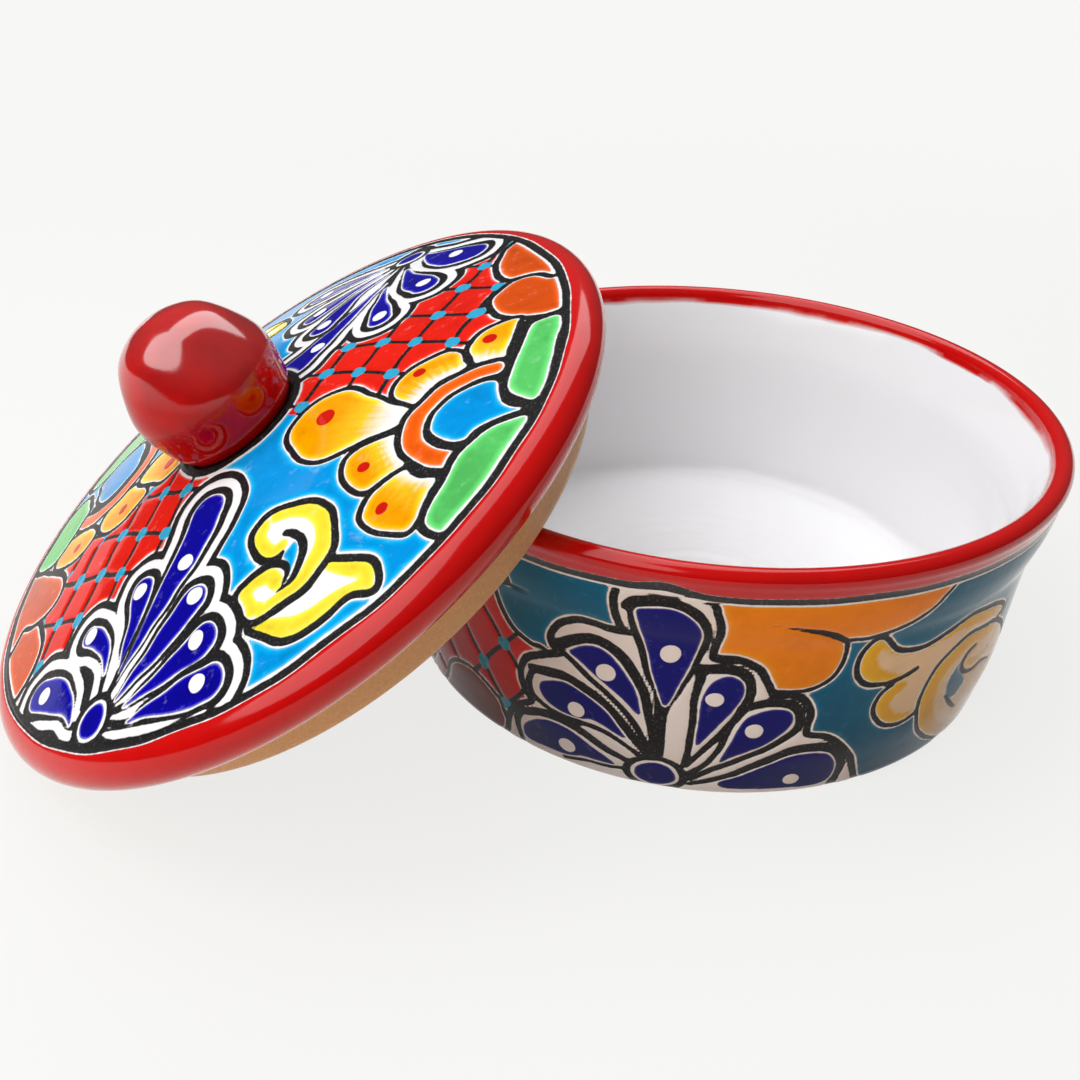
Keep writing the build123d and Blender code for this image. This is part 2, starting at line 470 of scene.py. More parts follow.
def paint_fan(art, hue, feathers, heart, heart_size):
    """A fan of feathers: each a stroke that swells to a round end, a thin white edge, a black line
    that tapers to the fan's heart, a white band, and one scalloped line round them all."""
    root = np.array([[*heart, 0.6]])
    away = art.away(*heart)
    white = away - heart_size - 3.0
    bodies, rims = [], []
    for rows, _ in feathers:
        rows = np.asarray(rows, float)
        wide = rows.copy()
        wide[:, 2] += 1.15 + 2.15 * np.linspace(0.0, 1.0, len(rows))
        inner = art.stroke(rows + (0.0, 0.0, 0.5))
        outer = art.stroke(np.concatenate([root, wide]))
        bodies.append(art.stroke(rows))
        rims.append(np.maximum(outer, -inner))
        white = np.minimum(white, outer - 2.9)
    art.lay(white, line=2.6, halo=0.6)
    for body, rim in zip(bodies, rims):
        art.ink(rim)
        art.colour(body, hue.cobalt)
    art.lay(away - heart_size - 1.0, line=2.4, halo=0.0)
    art.colour(away - heart_size, hue.cobalt)
    art.dab([(x, y, FEATHER_DOT) for _, (x, y) in feathers], DOT_WHITE)


def paint_petals(art, hue, petals, heart, inner):
    """Petals that go from white at the flower's ring through yellow to orange, with fine hair strokes,
    each over its own length."""
    away = art.away(*heart)
    turn = np.arctan2(art.p[:, 1] - heart[1], art.p[:, 0] - heart[0])
    hair = 0.5 * np.sin(61 * turn) + 0.35 * np.sin(97 * turn + 1.0) + 0.3 * np.sin(151 * turn + 2.2)
    pale, orange = np.array(PETAL_WHITE), np.array(hue.orange)
    warm = 0.6 * np.array(hue.yellow) + 0.4 * orange
    for points in petals:
        reach = np.hypot(*(np.asarray(points, float) - heart).T).max()
        t = ((away - inner + 1.4 * hair) / (reach - inner)).clip(0.0, 1.0)[:, None]
        near, far = ((t - 0.12) / 0.22).clip(0.0, 1.0), ((t - 0.34) / 0.30).clip(0.0, 1.0)
        tint = pale + (warm - pale) * near + (orange - warm) * far
        art.lay(art.region(points), tint, line=1.9, halo=0.4)


def paint_scroll(art, hue, turn=0.0, shift=(0.0, 0.0)):
    """A leaf scroll: white curls edged with yellow strokes, a hook line and a small blue pocket."""
    def put(points):
        return moved(points, turn, shift=shift)

    leaf = [(-21.8, 102.8), (-16, 100.3), (-8, 101.2), (0, 101.3), (6.5, 98.5), (11, 92.5),
            (12.3, 89.4), (6, 91.5), (-2, 91.8), (-9, 90), (-13, 87.3), (-18, 90.3),
            (-22.5, 94.5), (-23.5, 98.5)]
    curl = [(11.5, 87.8), (4, 89), (-3, 88.8), (-10, 86.8), (-15, 82.5), (-17.8, 76),
            (-17.8, 69.5), (-14.5, 63), (-8, 59.3), (-1, 58.4), (3.3, 60.6), (4.2, 65.5),
            (3.3, 70.3), (0.3, 73), (-3.2, 73.3), (-2, 75.6), (4, 75.8), (9, 75.8),
            (13.3, 77.5), (13.8, 83)]
    pocket = [(0, 83.8), (-4, 81.5), (-7, 77.5), (-7.4, 73.2), (-4.5, 74), (-2.2, 75.5), (-2.8, 79.5)]
    hook = [(3.0, 85.3, 0.3), (-3, 84, 1.0), (-7.4, 80, 1.35), (-9, 74.5, 1.4), (-7.4, 70, 1.35),
            (-5.2, 67.7, 1.1)]
    lip = [(0.5, 84.2, 0.3), (-2.6, 80.5, 1.1), (-1, 77, 1.25), (3, 74.7, 1.2), (8.5, 74.3, 1.2),
           (13, 75.6, 1.0)]
    bands = [
        [(-20.6, 101, 1.4), (-21.3, 97, 1.9), (-18.3, 93, 1.9), (-13.8, 88.8, 1.1)],
        [(-19.5, 99.8, 1.0), (-10, 99.2, 1.5), (0, 99, 2.0), (6, 95.6, 2.1), (10.4, 90.6, 1.3)],
        [(9, 87.3, 0.7), (0, 87.2, 1.4), (-8, 85.1, 1.6), (-13.4, 80.4, 1.9), (-15.8, 74, 2.0),
         (-14.9, 67.5, 2.1), (-10.5, 62.2, 2.0), (-4, 60, 1.4)],
        [(-3.5, 71.4, 1.2), (0, 71.2, 1.6), (2.1, 67.5, 1.7), (2.1, 63, 1.6), (0, 60.4, 1.3)],
        [(1.8, 82, 2.1), (3.3, 78.7, 2.1), (8, 77.4, 1.7), (11.4, 79, 1.7), (11.4, 84, 1.7),
         (8.5, 86.4, 1.1)],
    ]
    art.lay(art.region(put(leaf)), line=2.5, halo=0.6)
    art.lay(art.region(put(curl)), line=2.5, halo=0.6)
    for band in bands:
        art.colour(art.stroke(put(band) + (0.0, 0.0, 0.7)), hue.yellow)
    art.lay(art.region(put(pocket)), hue.sky, line=0.0, halo=0.3)
    art.ink(art.stroke(put(hook)))
    art.ink(art.stroke(put(lip)))


def paint_lattice(art, hue, where, origin, first, second):
    """Red ground with a net of slightly wavy lines along two directions and a dot at each crossing.

    A place is first and second times whole and part steps; the lines run where a part is zero."""
    x = art.p[:, 0] - origin[0] + 0.7 * wander(art.p[:, 0], art.p[:, 1], 60.0, 3.0)
    y = art.p[:, 1] - origin[1] + 0.7 * wander(art.p[:, 0], art.p[:, 1], 60.0, 5.0)
    det = first[0] * second[1] - first[1] * second[0]
    i = (x * second[1] - y * second[0]) / det
    j = (y * first[0] - x * first[1]) / det
    off_i, off_j = i - np.round(i), j - np.round(j)
    across_i = abs(det) / math.hypot(*second)
    across_j = abs(det) / math.hypot(*first)
    net = np.minimum(np.abs(off_i) * across_i, np.abs(off_j) * across_j) - NET_LINE
    knot = np.hypot(off_i * first[0] + off_j * second[0], off_i * first[1] + off_j * second[1])
    art.ink(np.where(where, net, FAR))
    art.colour(np.where(where, -FAR, FAR), hue.brick)
    art.spot(np.where(where, knot - NET_DOT, FAR), hue.turquoise)


# The lid's painting in its own plane, in millimetres.  Three numbers are a place and half a stroke's
# width, or a dot's radius; a feather is its stroke and the place of its dot.

FIRST_NET = (9.6, -10.2)
SECOND_NET = (10.2, 11.0)

FAN_NEAR = [
    ([(57, 87.6, .3), (51, 89.2, 1.6), (42, 92.3, 3.6), (34, 94.8, 5.0), (29, 96.2, 5.3)], (32.5, 94)),
    ([(57, 81.5, .3), (48, 82.3, 1.6), (38, 82.8, 3.4), (30, 82.6, 4.6),
      (26.8, 82.3, 4.6)], (29.5, 80.9)),
    ([(59.5, 77.2, .3), (50, 74.5, 1.7), (40, 71.5, 3.4), (31, 68, 4.4), (27, 66.6, 4.3)], (26.4, 66)),
    ([(59, 71, .3), (50, 65, 1.7), (40, 58.5, 3.0), (29, 50.5, 4.8), (21, 42.5, 6.2),
      (16.8, 37, 6.5)], (27, 50.3)),
    ([(57, 68.5, .3), (52.5, 61.5, 1.4), (48.3, 55.5, 2.6), (45.2, 49.5, 4.1),
      (43.8, 45.9, 4.2)], (44.7, 46)),
    ([(62.5, 64, .3), (61, 56, 2.0), (62.6, 49, 3.0), (66.7, 44, 3.1)], (66, 44.4)),
    ([(77.5, 69.5, .4), (79, 60.5, 3.2), (84, 52, 5.2), (90, 46.4, 5.0)], (87.7, 48.6)),
]
STRIP_NEAR = [
    (31, 103.8), (38, 100.6), (47, 96), (55, 91), (62, 85.6), (65.6, 83.6), (63.5, 87.2), (57, 92.6),
    (48.5, 97.6), (39.5, 101.8), (33.5, 104.2),
]
FAN_FAR = [
    ([(-78, -61, .4), (-80.5, -50, 4.4), (-86, -41.5, 7.2), (-90.5, -37.2, 6.5)], (-86.5, -43)),
    ([(-69, -52, .4), (-69, -40, 2.6), (-70.5, -30, 5.1), (-72, -24, 5.3)], (-72, -27)),
    ([(-60, -41, .4), (-57, -29, 1.8), (-55, -18.5, 4.0), (-54.3, -13.3, 4.2)], (-54.5, -15.6)),
    ([(-60, -47, .4), (-48, -32.5, 1.8), (-39, -24.5, 3.2), (-30, -16.5, 4.8), (-22.5, -11.5, 5.8),
      (-18, -10, 5.6)], (-32, -17)),
    ([(-62, -58, .4), (-50, -51, 1.8), (-40, -40, 4.2), (-34.5, -34.2, 4.3)], (-35.7, -36.6)),
    ([(-60, -64, .4), (-48, -60.3, 2.2), (-38, -56.5, 4.0), (-32, -54.5, 4.2)], (-35, -56.6)),
    ([(-61, -72, .4), (-51, -76.6, 2.2), (-41, -81.5, 4.3), (-35, -85, 4.5)], (-37.5, -84)),
]
PETALS_NEAR = [
    [(-48.6, 80.7), (-44.7, 84.6), (-40.2, 89.6), (-35.8, 92.3), (-31.3, 89.3), (-28, 85), (-26.5, 80),
     (-28.2, 76.4), (-31.3, 73.9), (-36.9, 72.3), (-41.9, 71.9), (-42.8, 74.8), (-45.2, 77.9)],
    [(-42.2, 69.4), (-36.9, 70.2), (-31.3, 71.2), (-28.2, 68.8), (-26.5, 64), (-26.5, 59.6),
     (-28.6, 55.6), (-32.4, 54.2), (-38, 54.7), (-43.8, 55.8), (-43.2, 59.6), (-41.8, 65.1)],
    [(-52.4, 47.8), (-50.2, 44.6), (-48.6, 40.7), (-49, 36.8), (-51.9, 33.1), (-58, 30.6),
     (-64.7, 30.3), (-69.2, 31.4), (-71, 34.6), (-70.2, 39), (-70.1, 42.3), (-63.6, 42.9), (-58, 45)],
    [(-81, 46.7), (-77.4, 44.6), (-73.2, 43), (-73.2, 39.6), (-73.6, 35.1), (-76.5, 31.4),
     (-81.3, 28.7), (-86.9, 28.6), (-91, 30.3), (-89.7, 32.9), (-86.3, 38.4), (-83, 43.4)],
    [(-50.4, 49.8), (-46.3, 52.6), (-39.1, 51.6), (-30.2, 50.6), (-23.6, 49), (-19.1, 45.8),
     (-15.9, 39.6), (-14.6, 32.9), (-16.9, 26.2), (-22.4, 21.9), (-29.1, 20.2), (-35.6, 22),
     (-39.6, 27.3), (-42, 32.9), (-44, 37.3), (-47, 43.4), (-49.6, 47.3)],
]
RING_NEAR = [
    (-53.2, 75.9, 3.0), (-49.4, 71.4, 3.2), (-47.5, 65.2, 3.3), (-48.6, 59.0, 3.3), (-52.2, 54.2, 3.2),
    (-58.6, 50.3, 3.1), (-65.2, 48.4, 3.0), (-71.9, 48.1, 2.9), (-77.4, 49.8, 2.6),
]
HEART_NEAR = [
    (-77.2, 72.2), (-71.3, 71.1), (-63.6, 71), (-60.2, 72.1), (-56.5, 70.3), (-53.8, 66), (-53.4, 61.8),
    (-56.5, 56.9), (-61.3, 54.2), (-66.9, 53.1), (-73.4, 53.9), (-75.8, 56), (-74.7, 60.1),
    (-74.3, 65.1), (-75.3, 69.3),
]
LEAVES_NEAR = [
    [(-45, 99.6), (-41.2, 95.5), (-42.5, 90.5), (-50.5, 83), (-58.5, 76), (-66, 73.8), (-73, 74.3),
     (-77.5, 76.6), (-70, 84), (-58, 92.5)],
    [(-82, 70.8), (-78.3, 66), (-77.5, 60), (-81, 54), (-86.5, 46), (-91.5, 38.5), (-95, 35.8),
     (-101, 37.8), (-97, 48), (-90.5, 60)],
]
CORNERS_NEAR = [
    [(-79.2, 74.6, 1.3), (-80.4, 73.4, 1.3)],
    [(-94.0, 33.9, 1.2), (-92.4, 34.6, 1.2), (-89.8, 37.0, 0.9)],
]
SPOTS_NEAR = [
    (-32.3, 80.7, 2.0), (-32.2, 62.3, 2.0), (-27.5, 31, 3.3), (-58, 34.8, 2.1), (-80.3, 34.3, 2.3),
]
PETALS_FAR = [
    [(22, -51), (30, -50), (35, -56), (38, -66), (32, -74), (24, -70), (20, -60)],
    [(24, -28), (32, -29), (35, -36), (34, -45), (27, -47), (22, -42), (20, -34)],
    [(40, -6), (43.5, -2.5), (50, -1), (57, -2.5), (61.5, -8), (62, -14.5), (58, -18.5), (48, -19),
     (43, -15)],
    [(65, -12), (70, -8.5), (76, -9.5), (83, -14.5), (87.5, -20.5), (86.5, -27), (81, -29.5), (75, -26),
     (68, -20)],
    [(22, -3), (28, -1.5), (33, -2.5), (37, -8), (43, -17), (40, -22), (33, -24), (27, -18), (22, -11)],
]
RING_FAR = [
    (39.5, -56, 2.8), (38, -42, 3), (41, -32, 3.1), (48, -25.8, 3.2), (57, -23.8, 3.2),
    (66, -25.8, 3.2), (72, -30.8, 3), (75, -35, 2.5),
]
HEART_FAR = [
    (47, -60), (45.5, -45), (48, -36), (55, -32.5), (63, -33.5), (67.5, -40), (68.5, -52), (69, -62),
    (58, -65),
]
LEAVES_FAR = [
    [(90, -28), (101, -38), (97, -48), (88, -62), (79, -62), (75, -50), (73.5, -43), (80, -34)],
    [(48, -69), (58, -68), (72, -67), (78, -73), (68, -83), (56, -91), (50, -84)],
]
SPOTS_FAR = [(51, -8.5, 2.1), (75, -16, 2.1), (29, -9, 2.6), (28, -37, 2.0), (29, -60, 2.0)]
CENTRE_NEAR = (-64.0, 64.0)
CENTRE_FAR = (57.0, -46.0)
CLOUDS_LEFT = [
    [(-112, 18), (-106.3, 11), (-103, 5.8), (-98.5, 3.5), (-96, 2), (-94.8, -4), (-95.7, -11),
     (-98.5, -18), (-103, -24.5), (-112, -26)],
    [(-112, 36), (-105, 33.8), (-101, 34.4), (-96, 32), (-91.3, 28.8), (-87.6, 23.3), (-86.3, 17),
     (-88.3, 11), (-93, 7.2), (-98.5, 6), (-103, 8), (-106.5, 14), (-112, 16)],
]
CLOUDS_RIGHT = [
    [(112, 36), (103, 34), (96.5, 31), (92, 25), (91, 18), (93.5, 9), (97.5, 3), (103, 0), (112, 2)],
    [(112, 4), (103, -1.5), (96.5, 3), (90, 6.5), (84, 5.3), (81.3, 0), (82.5, -7), (89, -17),
     (97, -28), (105, -38), (112, -36)],
]


def paint_flower(art, hue, petals, ring, heart, leaves, spots, centre, size=1.0, corners=()):
    """Half a flower at the rim: petals round an orange ring, a blue heart, and two green leaves."""
    paint_petals(art, hue, petals, centre, RING_REACH * size)
    middle = art.region(np.concatenate([np.asarray(ring, float)[:, :2], heart[:1]]))
    art.lay(middle, line=0.0, halo=0.0)
    art.ink(middle)
    art.lay(art.stroke(ring), hue.coral, line=2.2, halo=0.45)
    art.lay(art.region(heart), hue.sky, line=2.0, halo=0.5)
    for leaf in leaves:
        art.lay(art.region(leaf), hue.green, line=2.5, halo=0.5)
    for corner in corners:
        art.ink(art.stroke(corner))
    art.dab(spots, hue.berry)


def paint_lid(x, y, hue):
    """The lid's face: grounds by direction, then clouds, flowers, scrolls and fans, then the rings."""
    art = Painting(x + 0.35 * wander(x, y, 26.0, 1.0), y + 0.35 * wander(x, y, 26.0, 2.0))
    radius = np.hypot(x, y)
    turn = np.degrees(np.arctan2(y, x)) % 360.0
    blue = ((turn > 62) & (turn < 133)) | ((turn > 205) & (turn < 345))
    left = ~blue & (turn > 90)
    paint_lattice(art, hue, left, (-61.3, 16.0), FIRST_NET, SECOND_NET)
    paint_lattice(art, hue, ~blue & ~left, (61.0, -1.3), FIRST_NET, SECOND_NET)
    art.colour(np.where(blue, -FAR * 1.01, FAR), hue.sky)
    for cloud in CLOUDS_LEFT + CLOUDS_RIGHT:
        art.lay(art.region(cloud), hue.brown, line=2.3, halo=0.5)
    paint_scroll(art, hue)
    paint_scroll(art, hue, turn=180.0, shift=(-6.0, 6.0))
    paint_fan(art, hue, FAN_FAR, (-72.0, -67.0), 4.6)
    paint_fan(art, hue, FAN_NEAR, (69.0, 76.6), 5.0)
    art.lay(art.region(STRIP_NEAR), line=1.2, halo=0.0)
    paint_flower(art, hue, PETALS_FAR, RING_FAR, HEART_FAR, LEAVES_FAR, SPOTS_FAR, CENTRE_FAR)
    paint_flower(art, hue, PETALS_NEAR, RING_NEAR, HEART_NEAR, LEAVES_NEAR, SPOTS_NEAR, CENTRE_NEAR,
                 corners=CORNERS_NEAR)
    wave = 0.35 * wander(x, y, 45.0, 7.0)
    collar = radius - COLLAR_RADIUS - wave
    art.lay(collar, line=0.0, halo=0.9)
    art.ink(collar)
    border = radius - BORDER_RADIUS - wave
    art.patch = np.maximum(art.patch, border + 2.1)
    art.dot = np.maximum(art.dot, radius - BORDER_RADIUS + 1.7)
    art.line = np.minimum(np.maximum(art.line, border + 0.7), np.abs(border) - 1.3)
    art.colour(1.65 - border, hue.red)
    return art


# The bowl's wall unrolled: millimetres along it from the fan's middle, and height.

FEATHERS_WALL = [
    [(-9, 67), (-6, 69), (-1.5, 70), (3, 69), (6.5, 66), (8.5, 62), (8.2, 57), (6.5, 50), (4.5, 44),
     (2.5, 38), (1, 35.5), (-0.5, 37.5), (-2.5, 43), (-4.5, 50), (-6.5, 56), (-8, 62)],
    [(-29, 47), (-25, 50), (-20, 51), (-15.5, 49), (-11, 44), (-8, 38), (-6, 31), (-6.4, 30), (-8, 31),
     (-12, 35), (-17, 39), (-22, 42.5), (-26, 45)],
    [(-39, 31), (-36, 33.5), (-30, 35), (-24, 33), (-17, 28.5), (-12, 23), (-9.5, 20), (-12, 20.3),
     (-17, 22.3), (-21, 23.5), (-25, 22.5), (-31, 22.5), (-36.5, 24.5), (-39, 27.5)],
    [(-46.5, 7), (-45, 11), (-41, 14.5), (-35, 16.5), (-28, 15.8), (-20, 11.5), (-13, 6.5), (-18, 5.8),
     (-24, 5.5), (-30, 3.5), (-38, 3), (-45, 3.5)],
    [(13, 46), (16, 48.5), (19.5, 48.5), (22.5, 46), (23, 42), (21, 37), (17.5, 31), (14, 25),
     (11.8, 21.5), (11, 24), (11, 32), (11.5, 40)],
    [(24.5, 33), (28, 35.5), (33, 36.8), (37.5, 36), (39, 33), (37.5, 28.5), (33, 24), (27.5, 20.5),
     (22.5, 17.5), (19.5, 15), (20, 19), (21.5, 25)],
    [(20, 5.5), (27, 9.5), (34, 14), (40, 17), (47, 18), (53, 16.5), (56.5, 12), (57.5, 6), (56, 2.5),
     (50, 1.5), (40, 1.5), (30, 2), (22, 2.5)],
]
LINES_WALL = [
    [(0.4, 15, 1.0), (1.0, 33, 1.0), (4.5, 42, 1.0), (7.5, 51, 1.2), (9.8, 59, 1.4), (8.6, 66, 1.6),
     (4.5, 71, 2.0), (-2, 72.8, 2.6), (-8, 71, 2.6), (-11.6, 67.5, 1.6)],
    [(-0.4, 16, 0.9), (-1.2, 36, 0.9), (-4.8, 46, 0.9), (-8.2, 56, 0.9), (-10.3, 63, 0.8),
     (-11, 67, 0.7)],
    [(-0.8, 15, 0.9), (-2.6, 26, 1.2), (-5.2, 37, 1.3), (-9.5, 46, 1.5), (-14.5, 51.2, 1.5),
     (-20, 53.2, 1.6), (-26.5, 51.6, 1.6), (-33.5, 47.3, 1.6)],
    [(-2, 15, 0.8), (-7.5, 26, 0.8), (-14, 33.2, 0.8), (-22, 39.8, 0.8), (-33, 46.8, 0.9)],
    [(-3.5, 15, 0.9), (-8, 21.5, 1.2), (-14, 28, 1.4), (-21.5, 34.2, 1.5), (-29, 36.9, 1.5),
     (-36, 36.6, 1.5), (-42, 35, 1.4)],
    [(-5.5, 13.5, 0.8), (-11, 17.6, 0.7), (-18, 20.4, 0.7), (-25, 21, 0.7), (-31, 20.9, 0.7),
     (-37, 22, 0.7), (-41.8, 25, 0.8), (-43, 30, 0.9), (-41.8, 34.6, 0.9)],
    [(-8, 9, 0.9), (-15, 12, 1.2), (-23, 16.6, 1.4), (-31, 19, 1.5), (-39, 18.4, 1.5),
     (-46.5, 15.6, 1.4)],
    [(-46.8, 15.6, 1.2), (-48.8, 10, 1.1), (-48, 3, 1.0), (-46, -4, 1.0)],
    [(-9, 5.5, 0.6), (-16, 4.4, 0.6), (-24, 3.6, 0.6), (-31, 1.6, 0.7)],
    [(8.6, 12, 0.9), (9.3, 24, 0.9), (9.4, 38, 0.9), (10.2, 50.5, 1.2)],
    [(9.4, 12, 0.8), (14, 20, 0.9), (19, 28.4, 1.0), (23.2, 36, 1.3), (25, 43, 1.5), (23, 48.8, 1.5),
     (17.5, 51, 1.4), (11, 50.6, 1.2)],
    [(10, 8, 0.8), (15, 13, 0.8), (18, 19.5, 0.8), (20, 28, 0.8), (23, 36.6, 1.1)],
    [(11, 6, 0.8), (17.5, 11.4, 0.9), (26, 17.4, 0.9), (34, 22.4, 1.0), (40, 27.5, 1.2),
     (41.3, 33, 1.4), (38.4, 38, 1.4), (31, 39, 1.3), (23, 37, 1.2)],
    [(11, 3.6, 0.8), (18, 6.4, 1.0), (25, 10.6, 1.2), (33, 16, 1.5), (42, 19.9, 1.6), (50, 20.1, 1.6),
     (56, 16.4, 1.6), (59, 10, 1.6), (59, 3, 1.6), (57, -4, 1.4)],
]
WHITE_WALL = [
    (-10.6, 76.5), (-13.6, 72.5), (-14.2, 66), (-12.4, 61), (-9.5, 57.6), (-14, 57.2), (-24, 57.5),
    (-30.5, 55), (-33.5, 50.5), (-33.6, 47.6), (-31, 44.3), (-37, 41), (-43, 37), (-45, 32),
    (-43.5, 26.5), (-41, 21.5), (-46, 17.5), (-50.5, 11), (-53, 1), (-54, -8), (10, -9), (66, -8),
    (65.5, 1), (62, 9.5), (57.5, 17), (50, 23), (43.7, 25.5), (42.8, 29.5), (43, 35), (39, 40),
    (31.4, 41), (30.2, 42.6), (28.9, 45.4), (25.6, 50.2), (20, 52.8), (12.8, 53.2), (11.6, 56),
    (12.2, 63), (11.2, 69.5), (8, 75),
]
SPOTS_WALL = [
    (0.8, 54.2, 3.0), (-17, 43.2, 3.0), (-26.3, 25.6, 2.9), (-29.5, 8.3, 2.9), (15, 40.2, 2.6),
    (27.7, 28.7, 2.7), (43, 6.2, 2.6),
]
BLUE_WALL = [
    (-60, 95), (-48, 64), (-54, 60.5), (-53, 54), (-48.5, 48), (-42, 45), (-36, 44), (-20, 30),
    (10, -20), (80, -20), (152, -20), (147, 8), (151, 24), (146, 40), (151, 56), (147, 72), (150, 95),
    (80, 98), (10, 98),
]
CLOUD_WALL = [
    (8, 86), (34, 88), (60, 87), (77, 84), (77.4, 76), (74.5, 68.5), (69.5, 64.2), (63, 61.6),
    (56.5, 60.4), (51, 60.8), (48.4, 60.2), (49.6, 56.5), (49.4, 52), (47.2, 47.6), (43, 44.8),
    (37, 43.8), (30, 44.6), (18, 47), (8, 60),
]
DARK_CLOUD_WALL = [
    (-92, -12), (-84, 9), (-79.5, 16.3), (-73, 19.3), (-66, 19.6), (-59, 16.4), (-55.4, 10.5),
    (-55, -12),
]
BACK_CLOUD_WALL = [
    (166, 95), (168, 75), (175, 68.5), (183, 69), (188, 74), (194, 69), (204, 67.5), (213, 72),
    (217, 80), (217, 95),
]
BLUE_TAIL_WALL = [(-54, 60.8, 0.9), (-49, 61.4, 0.8), (-42.5, 62.2, 0.3)]
CLOUD_FOLD_WALL = [(27, 65.9, 0.2), (34, 65.3, 0.5), (40, 63.9, 0.8), (45, 61.9, 1.0), (48.6, 60.0, 1.0)]
SCROLL_WALL = [
    [(61, 58), (57.3, 55.5), (56, 51), (57.8, 46.5), (62, 43), (68.5, 41.8), (71, 40), (67.5, 37),
     (66, 32.5), (67.5, 28.5), (72, 24.8), (78, 23.6), (83, 25.5), (92, 30), (112, 44), (121, 48),
     (110, 53.4), (102, 54.8), (94, 54.6), (86, 52.4), (78, 50.6), (71, 51.3), (66, 53.4)],
    [(85.4, 23), (84.8, 30.5), (86.4, 37.5), (91, 43.4), (98, 46.8), (107, 46.8), (119, 43.5),
     (131, 36), (140, 25), (141.5, 12), (134, 2), (120, -3), (108, 1), (101, 5.6), (94, 10),
     (88.6, 15.8)],
]
BANDS_WALL = [
    [(60.3, 55.5, 1.6), (58.8, 51.5, 2.4), (61, 47, 2.6), (66, 44, 2.0), (71, 43.2, 1.0)],
    [(63, 55, 0.8), (71, 53, 0.9), (84, 53, 1.1), (96, 53.2, 1.6), (108, 51.6, 1.8), (116, 48.6, 1.4)],
    [(74, 39, 1.6), (70, 36, 2.4), (68.6, 32, 2.5), (70.6, 28.2, 2.3), (75, 25.8, 1.8),
     (80, 25.4, 1.0)],
    [(118, 41.5, 1.2), (107, 44, 2.2), (98, 43.6, 2.8), (91.6, 39, 3.0), (88.2, 31, 3.0),
     (89.6, 22, 3.0), (94.4, 14.5, 3.0), (101, 9.2, 2.8), (109, 5, 2.4), (120, 1.6, 2.0)],
    [(106, 35, 1.6), (110, 33.2, 2.2), (116, 34, 2.0), (120, 35, 1.0)],
    [(112, 9.5, 1.5), (122, 7, 2.0), (131, 11.5, 2.2), (135, 19, 2.0)],
]
POCKET_WALL = [
    (102, 38.8), (98, 35.8), (96, 30.6), (97, 26), (100.6, 22.6), (104, 22.4), (107.5, 26.5), (105, 30),
    (102.6, 34.5),
]
HOOKS_WALL = [
    [(78, 43.8, 1.0), (73, 42.2, 1.0), (68, 41.2, 1.0)],
    [(107.5, 40.8, 0.7), (103.5, 39.2, 1.0), (102, 35.5, 0.9), (105, 31.4, 0.9), (111, 29.6, 0.9),
     (118, 29.4, 0.8), (126, 26, 0.5)],
    [(108.5, 14.6, 0.5), (104.6, 17.6, 0.8), (100.8, 21.6, 0.8), (97.2, 25.6, 0.6)],
]


# The drawing leans out with the collar: heights on the bowl, and where the drawing has them
WALL_LEVELS = [0.0, 5.0, 20.0, 35.0, 50.0, 60.0, 64.5, 70.5, 75.0, 78.5, 81.0, 84.5, 90.0]
DRAWN_LEVELS = [-1.2, 4.7, 19.6, 34.4, 48.5, 57.1, 60.7, 65.5, 70.3, 75.3, 80.2, 84.5, 90.0]


